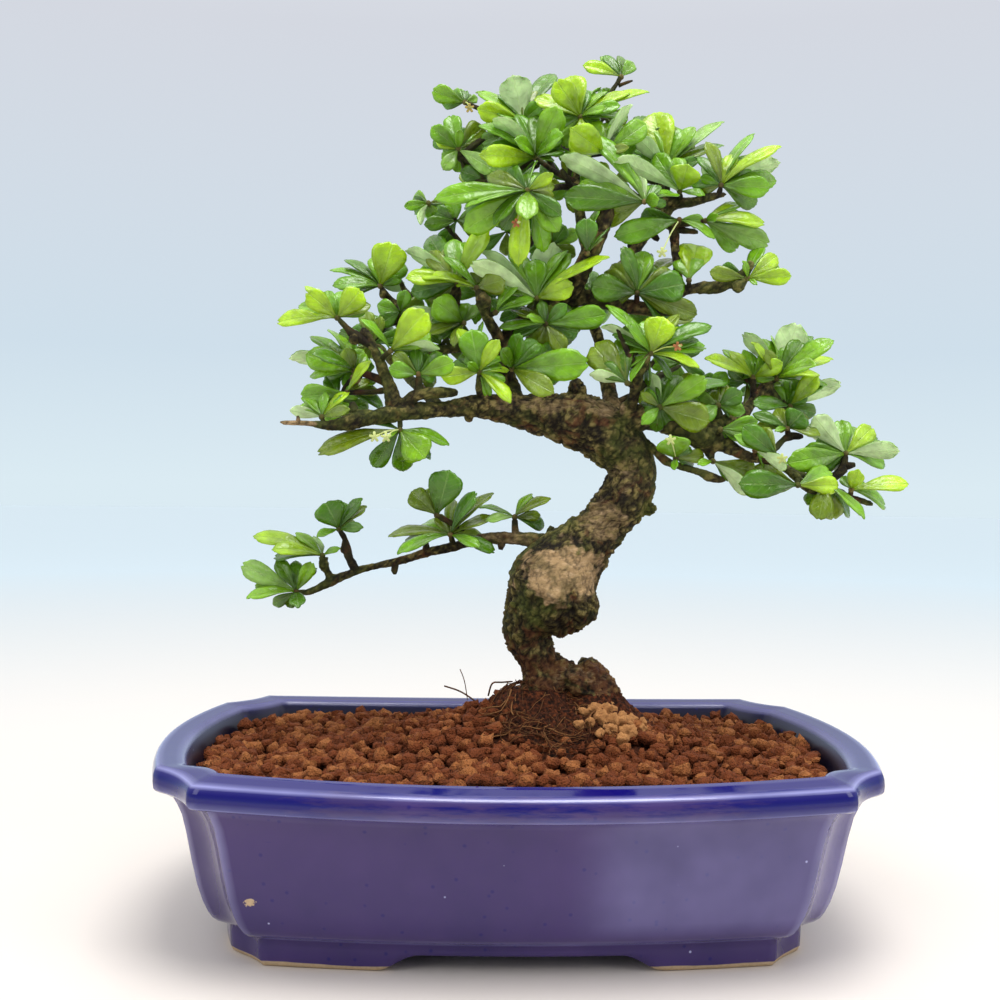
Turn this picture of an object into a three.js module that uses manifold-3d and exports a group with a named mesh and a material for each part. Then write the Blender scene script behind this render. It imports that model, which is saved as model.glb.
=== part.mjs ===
// Fukien tea bonsai in a glazed pot with notched corners. Millimetres, +Z up.
// The plant was surveyed from one spot, EYE. A place on it is written [x, z, y]: x and z say where the
// line of sight to it crosses the upright plane through the middle of the pot, and y how far it lies
// behind that plane. A fourth number is a radius.
import * as THREE from 'three';
import { mergeVertices } from 'three/addons/utils/BufferGeometryUtils.js';
import Module from 'manifold-3d';

const wasm = await Module();
wasm.setup();

// Pot
const POT_WIDTH = 300;
const POT_DEPTH = 213;
const POT_HEIGHT = 77.2;
const RIM_SAG = 3.3;
const CORNER_SIDE = [139.8, 72.7];
const CORNER_LONG = [122.2, 95.5];
const CORNER_DENT = 1.2;
const FOOT_HEIGHT = 12.4;
const FOOT_INSET = 29;
const FOOT_WIDTH = 11;
const FOOT_RECESS = 8.5;
const ARCH_HEIGHT = 6.8;
const ARCH_LENGTH = 96;
const SIDE_ARCH_LENGTH = 58;
const HOLE_RADIUS = 9;
const HOLE_X = 58;
const FLOOR_Z = 19;
const POT_PROFILE = [
  [FOOT_HEIGHT - 1, FOOT_INSET], [17, 22.8], [22, 18.6], [34, 14.4], [55, 10.4], [65.8, 6.8], [69.4, 1],
  [71, 0], [75.4, 0], [POT_HEIGHT, 2.2],
];
const CAVITY_PROFILE = [[FLOOR_Z, 40], [27, 27.5], [64, 16.5], [75.6, 13], [POT_HEIGHT + 0.1, 11]];

// Soil and root ball
const FIT_GAP = 0.3;
const SOIL_LEVEL = 67;
const SOIL_FRONT_RISE = 6.4;
const SOIL_MOUND = 23;
const MOUND_CENTRE = [9, 4];
const MOUND_SPREAD = [56, 46];
const SOIL_CELLS = [16, 11];
const GRANULE_RELIEF = 1.7;
const SCREEN_SIZE = 28;
const SCREEN_THICKNESS = 0.8;
const SCREEN_BAR = 2;
const SCREEN_PITCH = 7;
const SCREEN_OPENINGS = 3;
const ROOT_BALL = { centre: [8.5, -2], radius: [25, 23], bottom: 62, top: 97, closing: 0.92 };

// Foliage
const EYE = new THREE.Vector3(-27, -567.4, 185.4);
const BLADE = 0.7;
const BLADE_CLEARANCE = 0.3;
const BLADE_RATIO = 0.36;
const BLADE_MAX_WIDTH = 9;
const BLADE_ARCH = 0.07;
const BLADE_FOLD = 0.22;
const MIDRIB_POINT = 0.6;
const BUD_RADIUS = 1.9;
const TWIG_RADIUS = 1.1;
const SWINGS = [0, 4, -4, 8, -8, 12, -12, 16, -16, 20, -20];
const ROOT_OVERLAP = 1.4;
const SEED = 4045;

// Wood: every limb is a list of [x, z, y, radius]
const LIMBS = [
  { name: 'trunk and left branch', sides: 8, path: [
    [11.5, 84, 0, 12.6], [11, 96, 0, 11.6], [9.6, 108, 0, 9.9], [7, 118, 0, 10.3], [8, 124.5, 0, 13.2],
    [12, 131, 0, 18], [15.5, 138, 0, 21.5], [18, 145, 0, 20], [22.5, 152, 0, 16.8], [29, 159, 0, 13],
    [36, 166, 0, 11], [43.5, 175.5, 0, 11], [49.6, 187, 0, 11], [50.3, 193, 0, 10.6],
    [47.5, 199.5, 0, 11.2], [42, 205.5, 0, 12.5], [34, 210.5, 0, 12.8], [25, 214, 0, 12],
    [15, 216, 0, 10.2], [4, 217, 0, 8], [-8, 218.8, -3, 6.2], [-20, 219.5, -6, 4.9], [-32, 218, -9, 3.6],
    [-54, 216, -14, 4.1], [-62, 214.3, -16, 3.2], [-70, 213.3, -18, 3.9], [-77, 210.8, -19, 3.2],
    [-84, 210.2, -19, 2], [-91, 211, -20, 1.3], [-103.5, 211.2, -22, 1]] },
  { name: 'stump', sides: 6, path: [
    [37, 84, 5, 10], [36.5, 96, 5, 9.2], [36, 104, 4, 8.2], [35, 110, 4, 5.6], [34.5, 113, 4, 2.6]] },
  { name: 'root flare', sides: 6, path: [
    [12, 107, 0, 7], [20, 102, 0, 6.6], [28, 96, -1, 5.6], [38, 88, -2, 4]] },
  { name: 'low left branch', sides: 5, path: [
    [18, 159, 2, 4.2], [10, 161.6, 3, 3.2], [3, 162.6, 4, 2.6], [-3, 162.6, 5, 2.5], [-10, 162.3, 5, 2.2],
    [-18, 161.2, 6, 1.9], [-26, 158.5, 6, 1.9], [-40, 155.2, 7, 2.1], [-50, 152, 8, 1.9],
    [-64, 148.7, 9, 1.7], [-70, 146.9, 9, 1.9], [-80, 142.6, 10, 2.1], [-90, 137.7, 11, 1.5],
    [-95, 134.3, 11, 1.5]] },
  { name: 'low left spurs', sides: 4, path: [
    [-70, 147.5, 9, 2.2], [-72.5, 152, 8, 1.8], [-74.2, 157, 7, 2.3], [-74.8, 161, 6, 1.3],
    [-75.2, 163.4, 6, 1.1]] },
  { sides: 4, path: [
    [-80.5, 143, 10, 1.9], [-82.5, 147, 9, 1.5], [-83.8, 149.3, 8, 2.5], [-84.1, 151, 8, 1.7]] },
  { sides: 4, path: [
    [-19, 162, 6, 1.6], [-25, 165.5, 2, 1.4], [-29, 168.5, 0, 1.4], [-32, 170.3, -1, 2.2]] },
  { sides: 4, path: [[-0.5, 163, 5, 1.9], [-0.6, 168.6, 4, 1.4]] },
  { name: 'left upright', sides: 6, path: [
    [-54, 214, -14, 4], [-54.6, 221, -13, 3.8], [-56.3, 227.5, -12, 3.2], [-58.8, 234, -11, 2.5],
    [-61.8, 241, -10, 2.3], [-65, 247.5, -9, 2.1], [-68.4, 252.8, -8, 1.6]] },
  { sides: 4, path: [
    [-64, 245, -9.5, 1.8], [-68, 247.5, -9, 2], [-71.5, 249.3, -8, 2.4], [-75, 252.6, -8, 1.5],
    [-77.6, 254.8, -8, 1.1]] },
  { sides: 4, path: [[-57.5, 229, -11, 2], [-63, 231.5, -7, 1.8], [-69.5, 231.2, -4, 2]] },
  { sides: 3, path: [[-57, 226.3, -11, 1.5], [-64, 225, -10, 1.2], [-71.5, 223, -10, 1.1]] },
  { sides: 4, path: [[-71, 215, -18, 2.4], [-72.2, 220.3, -16, 1.8]] },
  { sides: 4, path: [
    [-50, 218, -12, 3.2], [-45, 224, -14, 2.8], [-38, 225, -14, 2.6], [-31, 225.3, -13, 2.5],
    [-26, 225.3, -12, 1.8]] },
  { sides: 4, path: [[-43.5, 225, -14, 2.4], [-43.4, 229.6, -15, 2.2]] },
  { sides: 4, path: [[-14, 221, -5, 3], [-16.5, 227, -8, 2.4], [-17.4, 231, -10, 2]] },
  { name: 'crown limb', sides: 6, path: [
    [-2, 217, 0, 6.4], [-4.5, 227, 3, 5], [-6, 235, 5, 3.9], [-7, 243, 8, 3.5], [-5, 251, 9, 3.3],
    [2, 257, 9, 3.4], [11, 262.5, 9, 3.6], [21, 267, 9, 3.8], [32, 267.3, 8, 3.8], [43, 265, 7, 3.5],
    [53, 263.5, 6, 3.2], [61, 262.6, 6, 2.5], [68.2, 262.3, 6, 1.8]] },
  { sides: 4, path: [
    [-7, 243, 8, 2.8], [-9.5, 250, 4, 2.5], [-13, 256, 2, 2.4], [-15, 260.5, 0, 2.5],
    [-15.8, 265, -1, 3.5], [-16.3, 268, -1, 1.8]] },
  { sides: 4, path: [
    [-7, 242, 8, 2.4], [-18, 245, 16, 2.3], [-29, 244.5, 20, 2.2], [-40, 243, 22, 2], [-48, 248, 24, 1.9],
    [-53, 256, 24, 2], [-53.5, 262, 24, 2.4], [-57, 265.5, 22, 1.8], [-59.8, 267.6, 20, 1.9]] },
  { sides: 4, path: [
    [-53.5, 261, 24, 2.2], [-48.5, 265.8, 24, 2.5], [-50.5, 270, 24, 1.3], [-54.6, 278.8, 24, 0.9]] },
  { sides: 4, path: [
    [-24, 245, 18, 2.1], [-27.5, 256, 16, 2.1], [-28.3, 264, 12, 2.5], [-27.8, 269, 10, 2.6]] },
  { sides: 3, path: [
    [-28, 261, 14, 1.6], [-27, 276, 24, 1.5], [-26, 289, 24, 1.3], [-31, 296, 22, 1.1],
    [-38.6, 304, 20, 1.5], [-45.6, 308.6, 19, 0.8]] },
  { name: 'leading limb', sides: 6, path: [
    [21, 266, 9, 4.2], [24.5, 274, 4, 4.3], [28, 282, 0, 4.2], [31.5, 289, -2, 4.1], [35, 296, -3, 3.7],
    [37, 303, -3, 3.5], [38.5, 308.5, -3, 3.2], [42, 311.5, -4, 2.5], [47.8, 313.6, -5, 1.8]] },
  { sides: 4, path: [
    [30, 287, -1, 2.8], [27, 297, 0, 2.6], [25.6, 306, 1, 2.1], [24, 315, 2, 1.9], [24.5, 326, 4, 1.7],
    [25.3, 335, 5, 1.5], [25.4, 342.8, 6, 1.3]] },
  { sides: 3, path: [[25.3, 336, 5, 1.2], [31, 347, 12, 1], [37.5, 355.5, 16, 1], [42.3, 361, 18, 1.2]] },
  { sides: 3, path: [[42, 360.3, 18, 1], [48, 362.6, 18, 0.6]] },
  { sides: 3, path: [[24, 313, 2, 1.5], [20.5, 318, -4, 1.3], [17.3, 323.5, -7, 1.2]] },
  { sides: 3, path: [
    [24.5, 316, 2, 1.5], [16, 315.5, -4, 1.3], [9, 313.5, -9, 1.2], [3.5, 310.8, -12, 1.5]] },
  { sides: 3, path: [[24, 318, 2, 1.4], [15, 322, 4, 1.2], [6.5, 325, 5, 1.6]] },
  { sides: 3, path: [[15, 322, 4, 1.2], [8, 333, 14, 1.1], [1, 341, 20, 1]] },
  { sides: 3, path: [[1.5, 340, 19, 1], [-12, 346, 27, 0.9], [-23, 350.2, 32, 0.9]] },
  { sides: 3, path: [
    [8, 331, 13, 1.2], [-4, 321, 20, 1.1], [-17.5, 317.4, 24, 0.9], [-24, 321.3, 26, 1],
    [-27.2, 327.2, 26, 1.9]] },
  { name: 'middle limb', sides: 5, path: [
    [31, 266.8, 8, 3.6], [36, 273, 12, 3.4], [41, 278, 14, 3.3], [45.5, 281.5, 15, 3.2],
    [49.3, 288, 16, 3.1], [53.5, 294.5, 17, 3.1], [58, 299.5, 17, 3.2], [62.5, 301.5, 14, 2.8],
    [67, 299.6, 10, 2.4]] },
  { sides: 4, path: [
    [71, 271, 4, 2.3], [69.4, 276, 5, 2], [68.6, 283, 7, 1.9], [67.8, 290, 8, 2.1], [67, 299.6, 10, 2.4]] },
  { sides: 4, path: [
    [56, 297.5, 17, 3.4], [61, 304.5, 18, 4.2], [65, 309.5, 17, 4.2], [70, 309.8, 14, 2.8],
    [76, 310.6, 10, 2.1], [82, 312.4, 6, 1.9], [90.5, 314.2, 2, 0.9]] },
  { sides: 3, path: [[67.3, 300, 9, 1.7], [73, 301, 8, 1.5], [78, 301.3, 7, 1.1]] },
  { name: 'right crown branch', sides: 5, path: [
    [56, 263.3, 6, 2.9], [62, 265, 5, 2.6], [67, 268, 4, 2.3], [71, 271, 4, 2.4], [76, 272.4, 3, 2.2],
    [81, 272.9, 2, 2.9], [87, 273.3, 0, 2.9], [92, 275.2, -2, 2.3], [96, 278, -4, 2], [99.2, 281, -5, 2],
    [101.6, 285, -6, 2.1]] },
  { sides: 4, path: [[93, 275.5, -3, 2], [95.8, 273.8, -4, 2.6], [97.5, 274.8, -4, 1.6]] },
  { name: 'front twig', sides: 5, path: [
    [48, 217, -4, 3.4], [50.8, 226, -12, 2.5], [51.6, 232, -16, 2.6], [53, 237.5, -18, 2.8],
    [56, 241, -19, 1.8]] },
  { sides: 3, path: [
    [51.5, 236.5, -17, 1.7], [47.5, 244.5, -18, 1.5], [45.3, 249, -18, 1], [42.7, 254.2, -18, 0.7]] },
  { sides: 3, path: [
    [51.5, 228, -13, 1.8], [59.5, 233, -4, 1.5], [66, 236, 2, 1.1], [71, 238.7, 6, 0.8]] },
  { name: 'right branch', sides: 7, path: [
    [44, 211, -2, 8.5], [53, 215.5, -4, 6.4], [60, 215, -6, 4.7], [67, 212.7, -7, 4.8],
    [74, 210.5, -8, 6.2], [80.5, 208.6, -8, 7], [86, 206.6, -8, 5.6], [91, 204.3, -9, 3.7]] },
  { sides: 5, path: [
    [82, 211, -7, 4.5], [88, 213.2, -4, 3.6], [94, 215.6, 0, 3], [99, 218, 4, 2.6], [102, 222, 8, 2.3],
    [105, 226.5, 10, 2.5], [108.6, 229.6, 12, 3.1], [110, 234.3, 13, 2.3]] },
  { sides: 4, path: [[103.5, 225, 9, 1.9], [103, 231, 10, 1.7]] },
  { sides: 4, path: [
    [108.4, 229.6, 12, 2.7], [112.2, 225.3, 13, 2.5], [115.6, 220.3, 14, 2.5], [117, 216.8, 15, 1.7]] },
  { sides: 4, path: [[87, 213.4, -4, 2.3], [87.5, 218.4, -7, 1.7]] },
  { name: 'low right branch', sides: 5, path: [
    [86, 206.8, -9, 5], [93, 203.4, -12, 3.3], [98, 200.8, -14, 2.7], [103, 198.8, -16, 2.2],
    [108, 197.7, -17, 1.6], [113, 196.3, -18, 1.5], [118, 194.3, -18, 1.9], [122, 191.3, -19, 2.3],
    [126, 186.8, -18, 1.6], [131, 183.8, -16, 1.4], [141, 184.8, -14, 1.4], [146, 181.9, -13, 1.7],
    [151, 180.8, -13, 1.5], [157.3, 178.7, -12, 1.3]] },
  { sides: 4, path: [
    [121.5, 192, -18, 1.8], [129, 190.9, -12, 1.2], [136, 190.2, -6, 1.3], [140, 191.2, -4, 2],
    [143.3, 194.2, -3, 2.2], [144.6, 198, -3, 1.6]] },
  { sides: 4, path: [
    [107, 198, -17, 1.6], [112, 201.5, -8, 1.4], [116, 206, -2, 1.4], [119.5, 208.3, 0, 1.8],
    [125.3, 208.4, 1, 1.6]] },
  { sides: 4, path: [[83, 204, -9, 3.4], [84.6, 199.8, -10, 2.2]] },
  { name: 'hanging right branch', sides: 4, path: [
    [54, 205, -2, 2.8], [60, 201.7, -5, 1.9], [64.3, 197.2, -8, 2.2], [69, 195.3, -10, 1.6],
    [80, 192.2, -12, 1.8], [84, 190.4, -12, 2.3], [88.5, 189, -11, 1.8], [92, 189, -10, 1]] },
  { name: 'back limb', sides: 5, path: [
    [47, 199, 4, 6.4], [45, 208, 16, 4.8], [41, 221, 27, 3.8], [38, 236, 34, 3.1], [35, 249, 38, 2.5],
    [31, 260, 41, 2]] },
  { sides: 4, path: [[33, 254, 39, 2], [22, 272, 36, 1.8], [12, 286, 38, 1.6], [6, 305, 40, 1.3]] },
  { sides: 3, path: [[38, 235, 34, 2.2], [50, 244, 39, 1.8], [61, 251, 46, 1.3]] },
  { sides: 3, path: [[12, 284, 38, 1.5], [-2, 297, 44, 1.3], [-13, 306, 50, 1.1]] },
  { name: 'back left branch', sides: 4, path: [
    [-34, 218, -8, 3], [-42, 226, 14, 2.5], [-53, 236, 34, 2], [-62, 245, 43, 1.5]] },
  { name: 'back right branch', sides: 4, path: [
    [84, 208.6, -5, 4], [90, 213, 14, 2.7], [99, 221, 30, 2.1], [107, 229, 40, 1.5]] },
  { name: 'back crown twigs', sides: 4, path: [
    [64, 308, 18, 2.6], [61, 318, 36, 1.8], [57, 326, 48, 1.4]] },
  { sides: 3, path: [[25, 330, 5, 1.5], [22, 332, 24, 1.3], [18, 334, 40, 1.2]] },
];

// Sprays: tufts that hold together as one. A tuft has the place of its bud, where on the wood its twig
// starts, and its leaves as [tip x, tip z, seen width, tip's depth behind the bud]. A width below zero
// is a leaf that turns its underside to the eye.
const SPRAYS = [
  [
    { bud: [-95.5, 137.9, 10], twig: [-94, 136, 11], leaves: [
      [-117.2, 136.2, 4.5, -6], [-119.6, 149.5, 9, 6], [-88.6, 151, 6, -4], [-86.6, 147.8, 3.5, 6],
      [-94.8, 131.6, 7, -10],
    ] },
  ],
  [
    { bud: [-84.4, 153.6, 8], twig: [-84.1, 151, 8], leaves: [
      [-105.8, 157.5, 5.5, -8], [-114.6, 163.3, 6.5, 4], [-105.8, 153.4, 5.5, 8], [-88, 162, 3, 10],
    ] },
  ],
  [
    { bud: [-77.4, 165.2, 5], twig: [-75.2, 163, 6], leaves: [
      [-83.5, 177, 13, -3], [-76.8, 177, 8, 6], [-67.3, 178.8, 4.5, 4], [-65.6, 175.7, 4, -6],
      [-67.6, 166.4, 4.5, -8],
    ] },
  ],
  [
    { bud: [-35, 171.8, -3], twig: [-32, 170.3, -1], leaves: [
      [-29.6, 191.8, 14, -4], [-46.4, 182, 9, 4],
    ] },
  ],
  [
    { bud: [-29, 163.4, -1], twig: [-27.5, 159, 6], leaves: [
      [-52.3, 156, 4.5, -8], [-56.4, 164.6, 4.6, 6], [-40.5, 169.3, 6, 9], [-17.6, 182.2, 5.5, -4],
      [-10, 181.6, 4.2, 6], [-16, 157.8, 4.5, -8], [-9.6, 155.6, 5.5, -12],
    ] },
  ],
  [
    { bud: [-1, 171.4, 4], twig: [-0.6, 168, 4], leaves: [
      [-13.4, 170.4, 3.4, -6], [6.2, 182.2, 3.6, 5], [14.2, 180.6, 3.8, -4], [12.3, 167.6, 6, 9],
    ] },
  ],
  [
    { bud: [-85.4, 213.8, -19], twig: [-84.5, 210.5, -19], leaves: [
      [-99.4, 216.4, -5, 5], [-73.6, 225, 3.6, 7], [-73.4, 217.5, 4.5, -6],
    ] },
    { bud: [-74.6, 224.6, -11], twig: [-71.5, 223, -10], leaves: [
      [-94.8, 222.6, 9.5, 4], [-64, 238.3, 3.6, -6], [-58, 219.5, 5.5, 7],
    ] },
  ],
  [
    { bud: [-71.8, 234.2, -4], twig: [-69.5, 231.5, -4], leaves: [
      [-92.8, 240.8, 10, -4], [-100, 238.8, -5.5, 6], [-89.2, 241.5, 4.5, -12], [-66.2, 241.8, 4, 5],
      [-75.5, 244, 7, -3], [-91, 248, 5, 10], [-82, 253, 5, 14],
    ] },
  ],
  [
    { bud: [-79.2, 256.9, -8], twig: [-77.6, 254.8, -8], leaves: [
      [-105.4, 254.6, 6.5, 3], [-92.6, 268, 8.5, -6], [-69, 269.3, 10.5, -3], [-64.8, 263, 5, -9],
      [-93.5, 269.8, 4, 9],
    ] },
  ],
  [
    { bud: [-60.8, 271, 19], twig: [-59.8, 267.6, 20], leaves: [
      [-55.5, 290.3, 15, -5], [-81.3, 272, 5.5, -6], [-82.7, 277.6, 3, 6], [-69.5, 278.8, 3.5, 9],
      [-50, 272, -6, 8],
    ] },
  ],
  [
    { bud: [-56, 243, -16], twig: [-60.5, 239, -10.5], leaves: [
      [-40.5, 260.7, 12.5, -6], [-34.6, 245, -4.6, -6],
    ] },
    { bud: [-43.8, 233, -16], twig: [-43.4, 229, -15], leaves: [
      [-56.6, 235.6, 7, -6], [-28, 238.7, 8, -4], [-55, 242.2, 6, 0], [-36.5, 228.5, 6, 8],
    ] },
  ],
  [
    { bud: [-51.5, 208.8, -15], twig: [-51.5, 214, -14], leaves: [
      [-87.7, 199, 7, -3], [-40.2, 196.4, 13, -5], [-29.5, 203.2, 4.5, 4],
    ] },
  ],
  [
    { bud: [-27.4, 273, 8], twig: [-27.8, 269, 10], leaves: [
      [-49.6, 275.6, 6.5, -6], [-47.6, 268.4, 8, -9], [-13.8, 297.6, 8, -8], [-49.8, 287, -5.5, 8],
      [-39.5, 293, 10, 12],
    ] },
    { bud: [-18.9, 271, -2], twig: [-16.3, 268, -1], leaves: [
      [-45, 277.3, 4.2, 4], [-27.6, 272.6, 3, 9.5], [-6.5, 275, 11, 7],
    ] },
  ],
  [
    { bud: [-24.3, 255.6, 9], twig: [-27.3, 255, 16], leaves: [
      [-37.5, 265.3, 12, -6], [-50, 258.8, -7, -6], [-18, 263.7, 5, 6], [-40.5, 250.6, 4.5, -8],
      [-29, 246, 4, -10],
    ] },
  ],
  [
    { bud: [-10.6, 260.4, -3], twig: [-14, 258.8, 1], leaves: [
      [4.5, 274, -7, -5], [6.6, 266, 4, 5.5],
    ] },
    { bud: [7.4, 267, 2], twig: [7.5, 261, 9], leaves: [
      [-18.3, 286.4, -5, 4], [-21.8, 283, -8, 8], [23, 273, 9, -9], [38.6, 286.3, 4, -8],
      [14.5, 291.2, -14, 9],
    ] },
    { bud: [11.5, 255.8, 0], twig: [11, 261, 8], leaves: [
      [38.3, 260.5, 10, -6], [9.2, 266, 5, 2], [20.5, 264.8, 6, -5], [20, 244, 7.5, -4],
      [-9, 252.8, 4, -6], [-3, 250.6, 5.5, -2], [12, 243.2, 9, 5],
    ] },
  ],
  [
    { bud: [2.8, 313.8, -13], twig: [3.5, 310.8, -12], leaves: [
      [-38, 309.7, 8, -4], [-6.8, 322.6, 9, 5], [-25, 295.6, 11, 4], [-11.6, 298.6, 5, -5],
      [17.3, 303.6, 7, -6], [2.5, 301.3, 9, -14], [16.8, 296, 9, -10], [-1, 280.8, 8.5, -2],
      [14, 321.5, 5, -5], [5.6, 326, 4, 17],
    ] },
    { bud: [5.8, 328.2, 4], twig: [6.5, 325, 5], leaves: [
      [16.2, 350.9, 11, -5], [-12.4, 345.6, -7, -3], [-18.6, 341.8, 3.5, 5], [-14.5, 332.6, 7, 8],
      [-19.7, 328.8, 9, -9], [-2.5, 336, 4, -7], [19, 337.8, 6, -8],
    ] },
  ],
  [
    { bud: [0, 343.8, 19], twig: [1, 341, 20], leaves: [
      [-4.3, 363.7, -14, -3], [13.6, 366.3, 7.5, 8], [-20.3, 356.3, 4.5, 2], [-19.8, 349, 9, -6],
      [-10.5, 355.8, 4, 9], [8.7, 351.6, 8, -8], [-11.2, 346.8, 3, -9],
    ] },
  ],
  [
    { bud: [25.4, 346.2, 6], twig: [25.4, 342.8, 6], leaves: [
      [14.6, 362, 10.5, -6], [20.5, 364.3, 12, 4], [5, 353.6, 6, -9], [42.6, 352.4, 5.5, -5],
      [37, 350.2, 3, -9], [46.6, 358.4, 4.2, -2], [55.4, 357.8, 3.8, 6], [32.6, 359.5, 3, 10],
      [27.5, 328.4, 12, -11],
    ] },
  ],
  [
    { bud: [42.9, 364, 18], twig: [42.3, 361, 18], leaves: [
      [26.5, 369.4, 5.5, -4], [48.7, 371.2, 6, 4],
    ] },
  ],
  [
    { bud: [36, 330.6, 0], twig: [24.8, 329, 4], leaves: [
      [22, 340.6, 12, -7], [54.6, 344.3, 9.5, 3], [47, 333.4, 4, -7], [43, 346, -5, 8],
      [48, 352.2, -4, 10],
    ] },
  ],
  [
    { bud: [63.8, 324.2, 20], twig: [64.2, 310, 18], leaves: [
      [50.4, 338.6, -7.5, -8], [57.2, 349.9, 15, 3], [88.6, 345.4, 4.5, 8], [78, 328.4, 5, -6],
      [76, 342.6, 6, 10],
    ] },
  ],
  [
    { bud: [69.4, 314.8, 10], twig: [69.6, 311, 13], leaves: [
      [73, 327, 13, -5], [41.2, 327.5, -8, -5],
    ] },
    { bud: [54, 310, -8], twig: [47.8, 313.6, -5], leaves: [
      [16.6, 329.4, -8, -6], [51.8, 321, -4, 5], [68.4, 314, 4.5, 17], [60.5, 311.4, 6, -8],
      [18, 311.6, 10.5, -1],
    ] },
  ],
  [
    { bud: [69.4, 302.4, 5], twig: [67, 299.6, 9], leaves: [
      [41.9, 294.8, 10, -8], [80.4, 302.6, 5, 0],
    ] },
    { bud: [81, 302.2, 5], twig: [78, 301.3, 7], leaves: [
      [94.5, 308.7, 5, 4], [107.4, 302.2, 5.5, -4], [109.2, 292.5, 9.5, -9],
    ] },
  ],
  [
    { bud: [87.6, 317.8, 3], twig: [86.6, 313.6, 4], leaves: [
      [81.6, 337.2, 5.5, -4], [93, 332, 6, 4], [113.2, 336.9, 5, -5], [112, 329, -8, 8],
      [109.4, 317.4, 9, -6], [112.6, 321.5, 8, 11], [78.5, 327, -6, 11], [74.2, 317.6, 4, 9],
    ] },
  ],
  [
    { bud: [51.2, 270.2, 0], twig: [51.2, 265.4, 5], leaves: [
      [72.8, 274.6, 13, -1], [31, 272.8, 11.5, -5], [54.5, 288.6, 9, 7], [67.5, 287, 6, 14],
      [45, 290.3, 6, 10], [78.2, 261, 9, 9],
    ] },
    { bud: [74, 276, 0], twig: [74.2, 272, 3.4], leaves: [
      [77.3, 291.6, 14.5, 4],
    ] },
  ],
  [
    { bud: [99.8, 277.3, -6], twig: [97.5, 274.9, -4], leaves: [
      [119.4, 278.8, 7, -4], [113.4, 288, 7, 4], [83, 280, 6.5, 10],
    ] },
  ],
  [
    { bud: [57.7, 243.8, -20], twig: [56, 241, -19], leaves: [
      [63, 260, 12.5, -3], [84, 258.1, 6, -6], [82, 246.4, 5.5, 4], [79.6, 239.8, 3.5, -6],
      [38.8, 265.9, 4.5, 5], [46, 255.6, 4, -8], [73.5, 256.5, 5, 10], [48.6, 231.6, 2.4, -2],
      [36.6, 256.2, -3, 10],
    ] },
    { bud: [47.6, 230.6, -20], twig: [50.8, 229, -14], leaves: [
      [32.3, 247, 13.5, -5], [45, 251.5, 8, 7], [31, 234.6, -5, 6],
    ] },
  ],
  [
    { bud: [62, 220.4, -14], twig: [61, 216, -8], leaves: [
      [82.6, 233.6, 9, -5], [84.2, 214.2, 12, -9], [58, 235.7, -5, 5], [53.6, 226.6, 4, 3],
      [91.8, 234.8, 5.5, 10], [54.4, 213, 5, -6],
    ] },
  ],
  [
    { bud: [87.8, 221.6, -9], twig: [87.5, 218.2, -7], leaves: [
      [98.3, 227.6, 8, -4], [99.8, 218.8, 6, -7], [78, 226.4, 5, 5], [80, 215.4, 7, -9],
    ] },
  ],
  [
    { bud: [103, 234, 10], twig: [103, 231, 10], leaves: [
      [81.4, 242, 5, -4], [92.4, 245.2, 4.5, 5], [116, 241, 7, -7], [95, 239.6, -4, 8],
    ] },
    { bud: [113.6, 233.6, 10], twig: [110.6, 232, 12], leaves: [
      [98.8, 253.9, -6.5, 5], [102, 249.6, 3, -5], [108.4, 246.4, 5, -8], [122.4, 258.2, -13.5, 4],
      [138.7, 251, 7, -6], [138.4, 243, 4.5, 4], [130.5, 240.2, 5, -5], [132.2, 236.8, 2.5, -9],
      [103.6, 234.6, 5, 0],
    ] },
  ],
  [
    { bud: [119.6, 221.6, 13], twig: [115.6, 220.4, 14], leaves: [
      [131.5, 236, 8, -5], [142.9, 231.4, -7, 5], [103.4, 223, 6, -8],
    ] },
  ],
  [
    { bud: [118.6, 212, -2], twig: [119, 208.3, 0], leaves: [
      [103, 217.9, 5, 5], [125, 219, 11.5, -4], [133.4, 209.4, 4, -5],
    ] },
  ],
  [
    { bud: [144.6, 201.2, -4], twig: [144.6, 198, -3], leaves: [
      [130, 217.8, -9.5, -3], [157, 213.6, 8.5, 5], [168.6, 203, -7.5, -4], [127.6, 209.2, -3, 6],
      [118.2, 196.6, 10, -8], [138.8, 193.5, 4, 5],
    ] },
  ],
  [
    { bud: [147.4, 185.3, -17], twig: [147, 181.8, -13], leaves: [
      [150.4, 194.2, 7, -5], [143, 191, 4, 5], [173, 187.6, 6.5, -4], [154, 188.4, 3, 6],
    ] },
  ],
  [
    { bud: [123.6, 187, -23], twig: [123, 190.4, -19], leaves: [
      [142.3, 187.2, 7.5, 2], [98.3, 187.3, 11.5, -5],
    ] },
    { bud: [136.2, 187.4, -19], twig: [136, 184.4, -15], leaves: [
      [133.2, 172.2, 9.5, -6], [139.8, 171.8, 9.5, 6], [154.2, 173, 3.5, -6],
    ] },
  ],
  [
    { bud: [114.3, 199.6, -21], twig: [113.5, 196.5, -18], leaves: [
      [99.2, 212, 9, -5], [105.4, 202, 4.5, 1],
    ] },
    { bud: [104.4, 202, -20], twig: [104, 199, -16], leaves: [
      [118.8, 194.2, -5.5, -7], [96, 208.6, 4, -6],
    ] },
  ],
  [
    { bud: [88.8, 211, -16], twig: [87, 208, -10], leaves: [
      [105.6, 214.8, 6.5, -4], [99, 207.4, 5, 6], [106.2, 204, 4, -6],
    ] },
  ],
  [
    { bud: [85.8, 197, -14], twig: [84.6, 199.8, -10], leaves: [
      [101.9, 182.4, -6, -5], [105.2, 192.5, 8, 5],
    ] },
  ],
  [
    { bud: [69.4, 198, -15], twig: [69, 195.3, -10], leaves: [
      [67.5, 207.8, 14, -5], [82.4, 199.6, 6, 5],
    ] },
  ],
  [
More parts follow.
